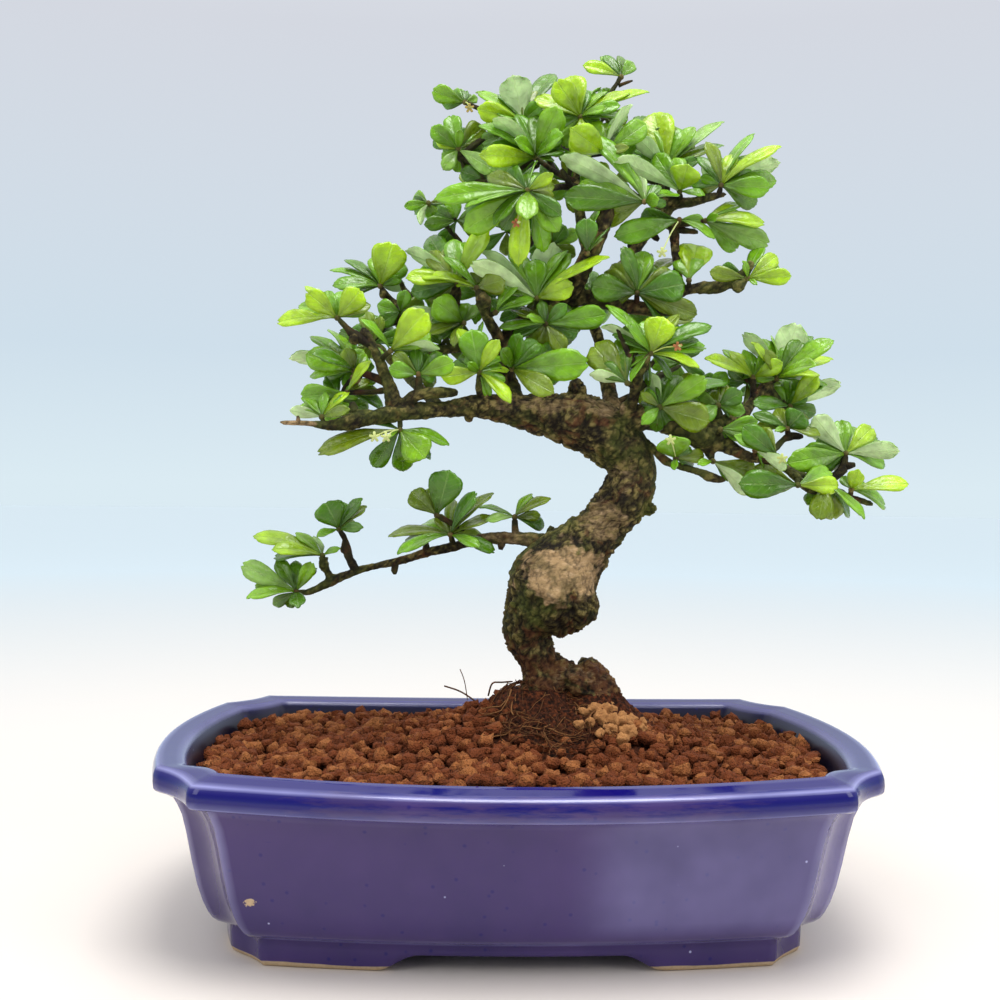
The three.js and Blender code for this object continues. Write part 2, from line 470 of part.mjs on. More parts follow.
    { bud: [-17.4, 234.4, -12], twig: [-17.4, 231, -10], leaves: [
      [-33.5, 232, 7.5, -5], [-21, 253, 12, -5], [-26.5, 253.5, 6, 6], [-9, 248.6, 6, -4],
      [-15.5, 256.5, 3, 5], [-4.4, 235.2, 3.2, 8], [-22.5, 238.6, 4, 8], [-3, 222.2, 5, -9],
    ] },
    { bud: [-3, 236, -4], twig: [-4.2, 231, 1], leaves: [
      [1, 251.6, 6.5, 4], [-7.6, 244.4, 5.5, -4], [29.6, 239.2, 13, -9], [14.6, 226.2, 9, -4],
    ] },
  ],
  [
    { bud: [29.2, 287, -8.6], twig: [30, 286, -3], leaves: [
      [28.6, 302.6, 9, -5], [33, 307.6, 4, -2],
    ] },
  ],
  [
    { bud: [-27.7, 331, 25], twig: [-27.2, 327.2, 26], leaves: [
      [-39.6, 340.6, 7.5, -4], [-31.2, 346.2, 8, 4], [-37.4, 334.2, 4, -7], [-17, 341, 11, 6],
      [-27, 339.4, 4, -7], [-33.9, 322.2, 6, -6], [-10.4, 321.4, 8, -7],
    ] },
  ],
  [
    { bud: [-25, 351.4, 32], twig: [-22.8, 350.1, 32], leaves: [
      [-39.3, 356.3, 8, -4], [-27.5, 356.8, -3, 6], [-19.4, 353.6, 4, 5],
    ] },
  ],
  [
    { bud: [-40.4, 307.4, 17], twig: [-38.8, 304.4, 19.6], leaves: [
      [-50.7, 305.8, 4.5, -4], [-46, 310.8, 5.5, 5], [-44.4, 298.2, -3.5, -8], [-30.6, 303.6, 5, 6],
    ] },
  ],
];

// Tufts on the far side: bud, twig's start and number of leaves, spread by a rule
const BACK_TUFTS = [
  { bud: [31, 264, 44], twig: [31, 260, 41], count: 5 },
  { bud: [12, 289, 42], twig: [12, 286, 38], count: 5 },
  { bud: [6, 309, 43], twig: [6, 305, 40], count: 5 },
  { bud: [62, 254, 49], twig: [61, 251, 46], count: 5 },
  { bud: [-15, 309, 53], twig: [-13, 306, 50], count: 5 },
  { bud: [-64, 248, 46], twig: [-62, 245, 43], count: 5 },
  { bud: [109, 232, 43], twig: [107, 229, 40], count: 5 },
  { bud: [56, 329, 51], twig: [57, 326, 48], count: 5 },
  { bud: [17, 336, 43], twig: [18, 334, 40], count: 5 },
];
const BACK_REACH = [11, 17];
const BACK_DEPTH = [2, 17];
const BACK_WIDTH = 8;

// Half of a blade's edge from its waist to its tip, as [share of length, share of width]. The tip of
// a large blade is toothed or notched, and a small one's is blunt.
const TOOTHED_EDGE = [[0.44, 0.34], [0.8, 0.5], [0.95, 0.3], [1, 0]];
const NOTCHED_EDGE = [[0.44, 0.34], [0.8, 0.5], [1, 0.27], [0.92, 0]];
const SMALL_EDGE = [[0.5, 0.42], [0.88, 0.46], [1, 0]];
const LARGE_LENGTH = 13;
const LARGE_WIDTH = 5.5;

function seededDraw(seed) {
  let state = seed;
  return () => {
    state = (state + 0x6d2b79f5) | 0;
    let value = Math.imul(state ^ (state >>> 15), 1 | state);
    value = (value + Math.imul(value ^ (value >>> 7), 61 | value)) ^ value;
    return ((value ^ (value >>> 14)) >>> 0) / 4294967296;
  };
}
const draw = seededDraw(SEED);
const between = ([low, high]) => low + (high - low) * draw();

function place([x, z, y]) {
  const onPlane = new THREE.Vector3(x, 0, z).sub(EYE);
  return onPlane.multiplyScalar(1 - y / EYE.y).add(EYE);
}

function solid(geometry) {
  geometry.deleteAttribute('normal');
  geometry.deleteAttribute('uv');
  const merged = mergeVertices(geometry, 1e-5);
  const mesh = new wasm.Mesh({
    numProp: 3,
    vertProperties: new Float32Array(merged.attributes.position.array),
    triVerts: new Uint32Array(merged.index.array),
  });
  return new wasm.Manifold(mesh);
}

function geometryOf(body) {
  const mesh = body.getMesh();
  const geometry = new THREE.BufferGeometry();
  geometry.setAttribute('position', new THREE.BufferAttribute(new Float32Array(mesh.vertProperties), 3));
  geometry.setIndex(new THREE.BufferAttribute(new Uint32Array(mesh.triVerts), 1));
  return geometry;
}

function union(bodies) {
  return wasm.Manifold.union(bodies);
}

// Each vertex of a geometry goes where a function of its old place says
function reshape(geometry, rule) {
  const position = geometry.attributes.position;
  const point = new THREE.Vector3();
  for (let index = 0; index < position.count; index += 1) {
    point.fromBufferAttribute(position, index);
    const moved = rule(point);
    position.setXYZ(index, moved.x, moved.y, moved.z);
  }
  return geometry;
}

// Pot
function quarterOutline() {
  const arcs = [];
  const sideBulge = POT_WIDTH / 2 - CORNER_SIDE[0];
  const longBulge = POT_DEPTH / 2 - CORNER_LONG[1];
  for (const share of [0, 0.5]) {
    arcs.push([CORNER_SIDE[0] + sideBulge * (1 - share * share), CORNER_SIDE[1] * share]);
  }
  arcs.push([...CORNER_SIDE]);
  const middle = [(CORNER_SIDE[0] + CORNER_LONG[0]) / 2, (CORNER_SIDE[1] + CORNER_LONG[1]) / 2];
  arcs.push([middle[0] - CORNER_DENT, middle[1] - CORNER_DENT]);
  for (const share of [1, 0.7, 0.36, 0]) {
    arcs.push([CORNER_LONG[0] * share, CORNER_LONG[1] + longBulge * (1 - share * share)]);
  }
  return arcs;
}

function potOutline() {
  const quarter = quarterOutline();
  const mirrored = (sx, sy) => quarter.map(([x, y]) => [x * sx, y * sy]);
  return [
    ...mirrored(1, 1),
    ...mirrored(-1, 1).reverse().slice(1),
    ...mirrored(-1, -1).slice(1),
    ...mirrored(1, -1).reverse().slice(1, -1),
  ];
}
const POT_OUTLINE = potOutline();

function rimSag(x, z) {
  const middle = Math.max(0, 1 - (x / CORNER_LONG[0]) ** 2);
  const upper = Math.min(1, Math.max(0, (z - 40) / 30));
  return RIM_SAG * middle * upper;
}

// A closed body whose level k follows the pot's outline, drawn in by the profile's inset
function vessel(profile) {
  const sides = POT_OUTLINE.length;
  const steps = profile.length - 1;
  const geometry = new THREE.CylinderGeometry(1, 1, 1, sides, steps);
  return solid(reshape(geometry, (point) => {
    const [z, inset] = profile[Math.round((point.y + 0.5) * steps)];
    const radius = Math.hypot(point.x, point.z);
    if (radius < 0.5) {
      return new THREE.Vector3(0, 0, z - rimSag(0, z));
    }
    const turn = Math.atan2(point.x, point.z) / (2 * Math.PI);
    const [x, y] = POT_OUTLINE[Math.round((turn + 1) * sides) % sides];
    const levelX = x * (1 - inset / (POT_WIDTH / 2));
    const levelY = y * (1 - inset / (POT_DEPTH / 2));
    const sag = Math.abs(y) >= CORNER_LONG[1] ? rimSag(x, z) : 0;
    return new THREE.Vector3(levelX, levelY, z - sag);
  }));
}

function archCutter(length, along) {
  const half = length / 2;
  const shape = new THREE.Shape();
  shape.moveTo(-half - 9, -1);
  shape.lineTo(half + 9, -1);
  shape.bezierCurveTo(half, 0, half + 2, ARCH_HEIGHT, half - 12, ARCH_HEIGHT);
  shape.lineTo(-half + 12, ARCH_HEIGHT);
  shape.bezierCurveTo(-half - 2, ARCH_HEIGHT, -half, 0, -half - 9, -1);
  const depth = POT_WIDTH + 20;
  const geometry = new THREE.ExtrudeGeometry(shape, { depth, bevelEnabled: false, curveSegments: 3 });
  geometry.translate(0, 0, -depth / 2);
  geometry.rotateX(Math.PI / 2);
  if (along === 'x') {
    geometry.rotateZ(Math.PI / 2);
  }
  return solid(geometry);
}

function drainHole(side) {
  const geometry = new THREE.CylinderGeometry(HOLE_RADIUS, HOLE_RADIUS, 20, 12);
  geometry.rotateX(Math.PI / 2);
  geometry.translate(side * HOLE_X, 0, FLOOR_Z - 4);
  return solid(geometry);
}

function potBody() {
  const foot = vessel([[0, FOOT_INSET + 0.6], [2.2, FOOT_INSET - 0.4], [FOOT_HEIGHT, FOOT_INSET + 0.8]]);
  const recess = vessel([[-1, FOOT_INSET + FOOT_WIDTH], [FOOT_RECESS, FOOT_INSET + FOOT_WIDTH + 1]]);
  return union([vessel(POT_PROFILE), foot])
    .subtract(union([
      recess,
      archCutter(ARCH_LENGTH, 'y'),
      archCutter(SIDE_ARCH_LENGTH, 'x'),
      drainHole(-1),
      drainHole(1),
      vessel(CAVITY_PROFILE),
    ]));
}

// A square of plastic mesh that lies over a drain hole
function drainScreen(side) {
  const plate = new THREE.BoxGeometry(SCREEN_SIZE, SCREEN_SIZE, SCREEN_THICKNESS);
  const opening = SCREEN_PITCH - SCREEN_BAR;
  const openings = [];
  for (let row = 0; row < SCREEN_OPENINGS; row += 1) {
    for (let column = 0; column < SCREEN_OPENINGS; column += 1) {
      const cutter = new THREE.BoxGeometry(opening, opening, SCREEN_THICKNESS * 3);
      const middle = (SCREEN_OPENINGS - 1) / 2;
      cutter.translate((column - middle) * SCREEN_PITCH, (row - middle) * SCREEN_PITCH, 0);
      openings.push(solid(cutter));
    }
  }
  const height = FLOOR_Z + FIT_GAP + SCREEN_THICKNESS / 2;
  return solid(plate).subtract(union(openings)).translate(side * HOLE_X, 0, height);
}

// Wood
function limbGeometry(path, sides, extra) {
  const centres = path.map(place);
  const last = path.length - 1;
  const tangents = centres.map((centre, index) => {
    const ahead = centres[Math.min(last, index + 1)];
    return ahead.clone().sub(centres[Math.max(0, index - 1)]).normalize();
  });
  let across = new THREE.Vector3(0.31, 0.93, 0.2);
  const frames = tangents.map((tangent) => {
    across = across.clone().addScaledVector(tangent, -across.dot(tangent)).normalize();
    return { across, side: tangent.clone().cross(across) };
  });
  const geometry = new THREE.CylinderGeometry(1, 1, 1, sides, last);
  return reshape(geometry, (point) => {
    const index = Math.round((0.5 - point.y) * last);
    const scale = 1 - path[index][2] / EYE.y;
    const bump = 1 + 0.05 * Math.sin(index * 2.3 + Math.atan2(point.z, point.x) * 3);
    const radius = path[index][3] * scale * bump + extra;
    return centres[index].clone()
      .addScaledVector(frames[index].across, point.x * radius)
      .addScaledVector(frames[index].side, point.z * radius);
  });
}

// The twig under a bud stops just short of it. It carries on a limb that ends there, or stands alone.
function addTwig(limbs, { bud, twig }) {
  const share = 1 - (BUD_RADIUS + FIT_GAP) / place(bud).distanceTo(place(twig));
  const tip = [...twig.map((value, axis) => value + (bud[axis] - value) * share), TWIG_RADIUS];
  const near = (limb) => place(limb.path.at(-1)).distanceTo(place(twig));
  const nearest = limbs.reduce((best, limb) => (near(limb) < near(best) ? limb : best));
  if (near(nearest) < 2.2) {
    nearest.path = [...nearest.path.slice(0, share > 0.45 ? undefined : -1), tip];
  } else if (share > 0.1) {
    limbs.push({ sides: 3, path: [[...twig, TWIG_RADIUS * 1.2], tip] });
  }
}

// Leaves
function bladeFrame(base, tip, seenWidth) {
  const along = tip.clone().sub(base);
  const length = along.length();
  along.normalize();
  const toEye = EYE.clone().sub(base).normalize();
  const facing = toEye.clone().addScaledVector(along, -toEye.dot(along)).normalize();
  const turned = along.clone().cross(facing);
  if (turned.z < 0) {
    turned.negate();
  }
  const seen = Math.abs(seenWidth);
  const width = Math.max(seen, Math.min(BLADE_RATIO * length, BLADE_MAX_WIDTH));
  const cosine = seen / width;
  const normal = facing.multiplyScalar(Math.sign(seenWidth) * cosine)
    .addScaledVector(turned, Math.sqrt(1 - cosine * cosine));
  return { along, normal, across: along.clone().cross(normal), length, width };
}

function edgeFor(length, width, tip) {
  if (length < LARGE_LENGTH || width < LARGE_WIDTH) {
    return SMALL_EDGE;
  }
  return Math.floor(Math.abs(tip.x) * 7 + tip.z * 3) % 3 === 0 ? NOTCHED_EDGE : TOOTHED_EDGE;
}

// A blade from its waist on, as triangles, and the open loop at its waist that the stalk grows into
function bladeFaces(base, tip, seenWidth, extra) {
  const frame = bladeFrame(base, tip, seenWidth);
  const { along, normal, across, length, width } = frame;
  const half = edgeFor(length, Math.abs(seenWidth), tip);
  const ring = [...half, ...half.slice(0, -1).reverse().map(([share, spread]) => [share, -spread])];
  const at = ([share, spread], face) => {
    const rise = BLADE_ARCH * length * 4 * share * (1 - share) + BLADE_FOLD * Math.abs(spread) * width;
    return base.clone()
      .addScaledVector(along, share * (length + extra))
      .addScaledVector(across, spread * (width + 2 * extra))
      .addScaledVector(normal, rise + face * (BLADE / 2 + extra));
  };
  const front = ring.map((point) => at(point, 1));
  const back = ring.map((point) => at(point, -1));
  const frontRib = at([MIDRIB_POINT, 0], 1);
  const backRib = at([MIDRIB_POINT, 0], -1);
  const faces = [];
  for (let index = 0; index + 1 < ring.length; index += 1) {
    const next = index + 1;
    faces.push([frontRib, front[index], front[next]], [backRib, back[next], back[index]]);
    faces.push([front[index], back[index], back[next]], [front[index], back[next], front[next]]);
  }
  const waist = [front.at(-1), frontRib, front[0], back[0], backRib, back.at(-1)];
  return { faces, waist, frame };
}

function solidOf(faces) {
  return solid(new THREE.BufferGeometry().setFromPoints(faces.flat()));
}

// A blade on its own, its stalk drawn to a point in the middle of the bud
function blade(base, tip, seenWidth, extra) {
  const { faces, waist } = bladeFaces(base, tip, seenWidth, extra);
  const stalk = waist.map((point, index) => [waist[(index + 1) % waist.length], point, base]);
  return solidOf([...faces, ...stalk]);
}

// The skin between a face of the bud and a blade's waist: both loops are followed by their angle
function stalkFaces(budFace, waist, { across, normal }) {
  const centre = budFace[0].clone().add(budFace[1]).add(budFace[2]).divideScalar(3);
  const angle = (point) => {
    const offset = point.clone().sub(centre);
    return Math.atan2(offset.dot(across), offset.dot(normal)) / Math.PI * 180;
  };
  const waistAngles = [-60, 0, 60, 120, 180, 240, 300];
  const ahead = (from, to) => (to - from + 720) % 360;
  const gap = (point) => Math.abs(ahead(-60, angle(point) + 180) - 180);
  const first = budFace.reduce((best, point, index) => (gap(point) < gap(budFace[best]) ? index : best), 0);
  const inner = [0, 1, 2, 3].map((step) => budFace[(first + step) % 3]);
  const innerAngles = [-60 - 180 + ahead(-60, angle(inner[0]) + 180)];
  for (let step = 1; step <= 3; step += 1) {
    innerAngles.push(innerAngles[step - 1] + ahead(angle(inner[step - 1]), angle(inner[step])));
  }
  const outer = [...waist, waist[0]];
  const faces = [];
  let [i, j] = [0, 0];
  while (i < 3 || j < 6) {
    if (j === 6 || (i < 3 && innerAngles[i + 1] < waistAngles[j + 1])) {
      faces.push([inner[i], inner[i + 1], outer[j]]);
      i += 1;
    } else {
      faces.push([outer[j + 1], outer[j], inner[i]]);
      j += 1;
    }
  }
  return faces;
}

// A bud of few leaves has eight faces and one of many has twenty
function budFaces(centre, leafCount) {
  const Bud = leafCount > 5 ? THREE.IcosahedronGeometry : THREE.OctahedronGeometry;
  const { position } = new Bud(BUD_RADIUS, 0).attributes;
  const corner = (index) => new THREE.Vector3().fromBufferAttribute(position, index).add(centre);
  const faces = [];
  for (let index = 0; index < position.count; index += 3) {
    faces.push([corner(index), corner(index + 1), corner(index + 2)]);
  }
  return faces;
}

// The far tufts' leaves fan out by the golden angle, away from the eye
function backLeaves({ bud: [x, z], count }) {
  const leaves = [];
  const start = draw() * 2 * Math.PI;
  for (let index = 0; index < count; index += 1) {
    const bearing = start + index * 2.4;
    const reach = between(BACK_REACH);
    const tipX = x + Math.cos(bearing) * reach;
    const tipZ = z + 3 + Math.sin(bearing) * reach * 0.8;
    leaves.push([tipX, tipZ, BACK_WIDTH * (0.5 + 0.5 * draw()), between(BACK_DEPTH)]);
  }
  return leaves;
}

function boxesMeet(one, other) {
  const [a, b] = [one.boundingBox(), other.boundingBox()];
  return [0, 1, 2].every((axis) => a.min[axis] <= b.max[axis] && b.min[axis] <= a.max[axis]);
}

function overlap(one, other) {
  return boxesMeet(one, other) ? one.intersect(other).volume() : 0;
}

function largestPiece(body) {
  const pieces = body.decompose();
  return pieces.reduce((best, piece) => (piece.volume() > best.volume() ? piece : best));
}

// A leaf as it grows from the free face of the bud that looks its way
function grownLeaf(base, tip, seenWidth, free) {
  const { faces, waist, frame } = bladeFaces(base, tip, seenWidth, 0);
  const middle = (face) => face[0].clone().add(face[1]).add(face[2]).divideScalar(3);
  const facing = (face) => middle(face).sub(base).dot(frame.along);
  const budFace = free.reduce((best, face) => (facing(face) > facing(best) ? face : best));
  const skin = [...faces, ...stalkFaces(budFace, waist, frame)];
  return { skin, budFace, closed: solidOf([...skin, [...budFace].reverse()]) };
}

// A leaf keeps its place in the eye's view and swings nearer or farther until it is clear of the wood,
// of other sprays and of its own tuft. One that crosses its own tuft at every swing is fused to it.
function tuftBody(tuft, wood, others, siblings) {
  const base = place(tuft.bud);
  const free = budFaces(base, tuft.leaves.length);
  const grown = [];
  const crossing = [];
  const own = [];
  for (const [tipX, tipZ, seenWidth, depth] of tuft.leaves) {
    let best = null;
    for (const swing of SWINGS) {
      const tip = place([tipX, tipZ, tuft.bud[2] + depth + swing]);
      const padded = blade(base, tip, seenWidth, BLADE_CLEARANCE);
      const clearOfOthers = others.every((other) => overlap(padded, other) === 0);
      if (clearOfOthers && overlap(padded, wood) < ROOT_OVERLAP) {
        const leaf = grownLeaf(base, tip, seenWidth, free);
        const crossed = own.reduce((sum, other) => sum + overlap(leaf.closed, other), 0);
        const met = siblings.reduce((sum, other) => sum + overlap(leaf.closed, other), 0);
        const cost = Math.abs(swing) * 0.1 + met * 0.5 + (crossed > 0.001 ? 9 + crossed : 0);
        if (!best || cost < best.cost) {
          best = { ...leaf, cost, tip, clear: crossed <= 0.001 };
        }
      }
    }
    if (!best) {
      continue;
    }
    if (best.clear) {
      free.splice(free.indexOf(best.budFace), 1);
      grown.push(...best.skin);
    } else {
      crossing.push(blade(base, best.tip, seenWidth, 0));
    }
    own.push(best.closed);
  }
  siblings.push(...own);
  return union([solidOf([...free, ...grown]), ...crossing]);
}

function spray(tufts, wood, woodClear, others) {
  const siblings = [];
  const bodies = tufts.map((tuft) => tuftBody(tuft, wood, others, siblings));
  return largestPiece(union(bodies).subtract(woodClear));
}
// Soil
function soilHeight(x, y) {
  const front = Math.min(1, Math.max(0, (-y - 45) / 45)) * Math.max(0, 1 - (x / 128) ** 2);
  const spread = ((x - MOUND_CENTRE[0]) / MOUND_SPREAD[0]) ** 2 + ((y - MOUND_CENTRE[1]) / MOUND_SPREAD[1]) ** 2;
  return SOIL_LEVEL + SOIL_FRONT_RISE * front + SOIL_MOUND * Math.exp(-spread);
}

function soilBody() {
  const [columns, rows] = SOIL_CELLS;
  const geometry = new THREE.BoxGeometry(POT_WIDTH, POT_DEPTH, 40, columns, rows, 1);
  const heights = new Map();
  reshape(geometry, (point) => {
    if (point.z < 0) {
      return point.set(point.x, point.y, FLOOR_Z + SCREEN_THICKNESS + 2 * FIT_GAP);
    }
    const key = `${point.x.toFixed(2)} ${point.y.toFixed(2)}`;
    if (!heights.has(key)) {
      heights.set(key, soilHeight(point.x, point.y) + GRANULE_RELIEF * (2 * draw() - 1));
    }
    return point.set(point.x, point.y, heights.get(key));
  });
  const inside = vessel(CAVITY_PROFILE.map(([z, inset]) => [z, inset + FIT_GAP * 1.6]));
  return solid(geometry).intersect(inside);
}

function rootBallBody(extra) {
  const { centre, radius, bottom, top, closing } = ROOT_BALL;
  const levels = 4;
  const geometry = new THREE.CylinderGeometry(1, 1, 1, 10, levels);
  return solid(reshape(geometry, (point) => {
    const level = point.y + 0.5;
    const taper = Math.sqrt(1 - (closing * level) ** 3);
    const angle = Math.atan2(point.z, point.x);
    const ripple = 1 + 0.06 * Math.sin(angle * 5 + level * 7);
    const reach = taper * ripple;
    return new THREE.Vector3(
      centre[0] + point.x * (radius[0] + extra) * reach,
      centre[1] - point.z * (radius[1] + extra) * reach,
      bottom - extra + level * (top - bottom + 2 * extra),
    );
  }));
}

function build() {
  const allTufts = [...SPRAYS.flat(), ...BACK_TUFTS];
  const limbs = LIMBS.map((limb) => ({ ...limb }));
  allTufts.forEach((tuft) => addTwig(limbs, tuft));
  const woodParts = (extra) => limbs.map(({ path, sides }) => solid(limbGeometry(path, sides, extra)));
  const wood = union(woodParts(0));
  const woodClear = union(woodParts(FIT_GAP));
  const pieces = { pot: potBody(), drain_screen_left: drainScreen(-1), drain_screen_right: drainScreen(1) };
  const rootBall = rootBallBody(0);
  pieces.root_ball = largestPiece(rootBall.subtract(woodClear));
  pieces.soil = largestPiece(soilBody().subtract(union([rootBallBody(FIT_GAP), woodClear])));
  pieces.trunk = wood;
  const leafNodes = [];
  const backSprays = BACK_TUFTS.map((tuft) => [{ ...tuft, leaves: backLeaves(tuft) }]);
  [...SPRAYS, ...backSprays].forEach((tufts, index) => {
    const body = spray(tufts, wood, woodClear, leafNodes);
    leafNodes.push(body);
    pieces[`leaf_spray_${String(index + 1).padStart(2, '0')}`] = body;
  });
  return pieces;
}

const FINISHES = {
  pot: { color: 0x2b2468, roughness: 0.16, metalness: 0 },
  soil: { color: 0x7a4a2c, roughness: 0.95, metalness: 0 },
  root_ball: { color: 0x3d2415, roughness: 0.95, metalness: 0 },
  trunk: { color: 0x4a3d26, roughness: 0.85, metalness: 0 },
  drain_screen: { color: 0x1d1f1e, roughness: 0.6, metalness: 0 },
  leaf_spray: { color: 0x5f9a26, roughness: 0.4, metalness: 0 },
};

const group = new THREE.Group();
for (const [name, body] of Object.entries(build())) {
  const finish = FINISHES[name] ?? FINISHES[name.startsWith('leaf') ? 'leaf_spray' : 'drain_screen'];
  const mesh = new THREE.Mesh(geometryOf(body), new THREE.MeshStandardMaterial(finish));
  mesh.name = name;
  group.add(mesh);
}

// The origin lies under the middle of the whole, which reaches farther out on the right than the pot
const extent = new THREE.Box3().setFromObject(group);
group.position.x = -(extent.min.x + extent.max.x) / 2;
group.position.y = -(extent.min.y + extent.max.y) / 2;

export default group;
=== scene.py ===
"""Dresses a fukien tea bonsai: its glazed pot, its soil and roots, its wood, its leaves and flowers,
and the studio stage that it stands on. Shapes are worked out in millimetres on the pot's own middle
and brought to the frame's metres when a piece is finished.
"""

import functools
import math
import random

import bmesh
import bpy
from mathutils import Matrix, Vector, kdtree, noise


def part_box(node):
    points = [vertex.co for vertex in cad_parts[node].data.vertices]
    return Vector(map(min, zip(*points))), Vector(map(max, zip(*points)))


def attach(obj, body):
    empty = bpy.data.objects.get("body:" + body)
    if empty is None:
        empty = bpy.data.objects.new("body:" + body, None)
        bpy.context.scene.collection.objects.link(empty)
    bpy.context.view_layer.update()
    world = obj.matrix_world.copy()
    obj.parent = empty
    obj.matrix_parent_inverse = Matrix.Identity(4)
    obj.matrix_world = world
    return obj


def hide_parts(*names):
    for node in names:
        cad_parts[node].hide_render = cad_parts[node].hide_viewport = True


bl_info = {
    "name": "Fukien Tea Bonsai",
    "version": (1, 0, 0),
    "blender": (4, 5, 0),
    "location": "View3D > Sidebar > Bonsai",
    "description": "Dresses the bonsai, its pot and its soil, and sets up the studio stage",
    "category": "Add Mesh",
}

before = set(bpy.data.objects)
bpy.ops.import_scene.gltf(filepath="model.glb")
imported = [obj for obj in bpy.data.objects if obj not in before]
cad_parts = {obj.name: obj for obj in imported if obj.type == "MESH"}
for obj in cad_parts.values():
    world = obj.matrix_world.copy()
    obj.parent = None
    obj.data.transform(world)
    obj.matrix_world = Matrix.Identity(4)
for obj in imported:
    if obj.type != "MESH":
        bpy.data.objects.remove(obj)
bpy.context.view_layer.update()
POT_LOW, POT_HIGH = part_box("pot")

MM = 0.001
# Points of a sheet's seam closer than this are welded, in millimetres, and those of rough earth
WELD = 0.0005
EARTH_WELD = 0.02
POT_MIDDLE = Vector(((POT_LOW[0] + POT_HIGH[0]) / 2, (POT_LOW[1] + POT_HIGH[1]) / 2, 0.0))

# The plant was surveyed from one spot, EYE, in millimetres on the pot's middle. A place on it is
# written (x, z, y): x and z say where the line of sight to it crosses the upright plane through the
# middle of the pot, and y how far it lies behind that plane. A fourth number is a radius.
EYE = Vector((-27.0, -567.4, 185.4))
EYE_TURN = (math.radians(-1.97), math.radians(-0.67), math.radians(-0.76))
EYE_LENS = 46.8

# Pot outline: half a side, the notched corner and half a long side, seen from above
CORNER_SIDE = (139.8, 72.7)
CORNER_LONG = (122.2, 95.5)
HALF_POT = (150.0, 106.5)
# How far the rim sags along the front and back, how strong the painted reflection on the right of the front
# is, and how high the foot is cut away
RIM_SAG = 2.3
PAINTED_SHEEN = 0.3
ARCH_HEIGHT = 6.8
# Wall of the pot from the middle of its underside, round the foot, the body and the lip, to the
# middle of its floor: height, how far in from the outline, and how thin the glaze breaks there
POT_WALL = (
    (8.7, 90, 0), (8.7, 60, 0), (8.5, 42, 0), (7.6, 40.6, 0), (0.6, 40, 0), (0, 39.2, 0), (0, 30.4, 0),
    (0.5, 29.4, 0), (2.4, 28.6, 0), (8, 28.4, 0), (10.8, 28.2, 0), (11.8, 27, 0.5), (13.2, 23.6, 0.3),
    (15, 21.6, 0), (17.5, 20, 0), (22, 18, 0), (28.5, 16, 0), (38, 14, 0), (49, 12, 0), (57, 10.2, 0),
    (61.6, 8.4, 0), (64.2, 7, 0.1), (65.8, 4.6, 0), (67, 2, 0), (68, 0.6, 0.7), (68.9, 0, 0.3),
    (71.2, -0.2, 0), (73.8, 0, 0), (75.6, 0.6, 0.05), (76.7, 1.4, 1), (77.2, 2.6, 0.35), (76.95, 4.4, 0),
    (76.5, 8, 0), (76.3, 10.2, 0.2), (75.5, 11.6, 0.5), (73.6, 12.7, 0), (70, 14.2, 0), (64, 16.5, 0),
    (45, 22, 0), (27, 27.5, 0), (21, 34, 0), (19, 42, 0), (19, 60, 0), (19, 90, 0),
)
# The drain holes lie on the long axis
DRAIN_HOLES = (-58.0, 58.0)
DRAIN_RADIUS = 9.0

# Numbers of the limbs that make up the trunk with its stump, and the stump alone
TRUNK_LIMBS = (0, 1, 2)
STUMP_LIMBS = (1, 2)
# Vectors of noise start from this seed, or the bark would differ from run to run
NOISE_SEED = 5
# Rubbed or healed bark on the front: x, z, half width, half height, how bare it is
WORN_BARK = (
    (20, 147, 19, 13, 1), (38, 170, 11, 12, 0.5), (47, 190, 8, 10, 0.35), (14, 220, 14, 4, 0.5),
    (38, 221, 10, 5, 0.65), (-6, 221, 8, 3, 0.4), (36, 104, 8, 6, 0.3), (23, 102, 9, 6, 0.35),
    (-8, 162, 20, 5, 0.45), (-97, 211.3, 9, 3, 0.7),
)
# Burrs and healed buds on the bark: x, z, radius
KNOBS = (
    (25.7, 228, 4), (32.5, 217, 3.4), (46.5, 220, 2.4), (57.5, 176, 3), (41, 157, 2), (1, 151.3, 2),
    (5.5, 151.5, 1.8), (-74.7, 156.5, 2.2), (-56, 239.5, 2.2), (-71.5, 248, 2.6), (-71, 230.5, 2.5),
    (-52.5, 263, 2.5), (-48, 265.5, 3), (-59.5, 267.5, 2), (-15.8, 265.5, 3.4), (95.7, 273.5, 2.8),
    (45.5, 245.5, 1.8), (8, 138, 2.2), (-1, 133, 2), (14, 127, 1.8), (52, 205, 2.2), (33, 176, 2.4),
)
# Short cut twigs: from (x, z, y, radius) to (x, z, y)
STUBS = (
    ((-53, 151, 8, 1.8), (-53, 145.8, 8)), ((-39.4, 156, 7, 1.8), (-39.4, 160.5, 7)),
    ((-6.5, 161, 5, 2), (-7, 157, 5)), ((14.5, 162, 2, 2.2), (15.3, 167.6, 2)),
    ((-95.5, 211, -21, 1.1), (-95.7, 214.3, -21)), ((-21, 218, -6, 2.7), (-21.8, 212.4, -7)),
    ((49.5, 288, 16, 2), (47.6, 292.8, 16)), ((56.5, 297, 16, 1.7), (60.5, 293.3, 16)),
    ((99, 218.8, 4, 2), (101.3, 216, 4)), ((68, 298, 9, 1.5), (77.5, 297.2, 9)),
    ((54, 236.5, -18, 1.6), (59.3, 240.2, -18)), ((144, 195.6, -3, 1.9), (148.8, 196.3, -3)),
    ((-26.6, 327, 26, 1.5), (-31.4, 330, 27)), ((-84, 153, 8, 2), (-84, 147, 8)),
)

SOIL_LEVEL = 67.0
# How far in from the pot's outline the bed of earth and the granules end, and how far apart the
# rows of granules are, against the granules of a row
SOIL_INSET = 16.2
GRANULE_INSET = 15.6
ROW_GAP = 0.86
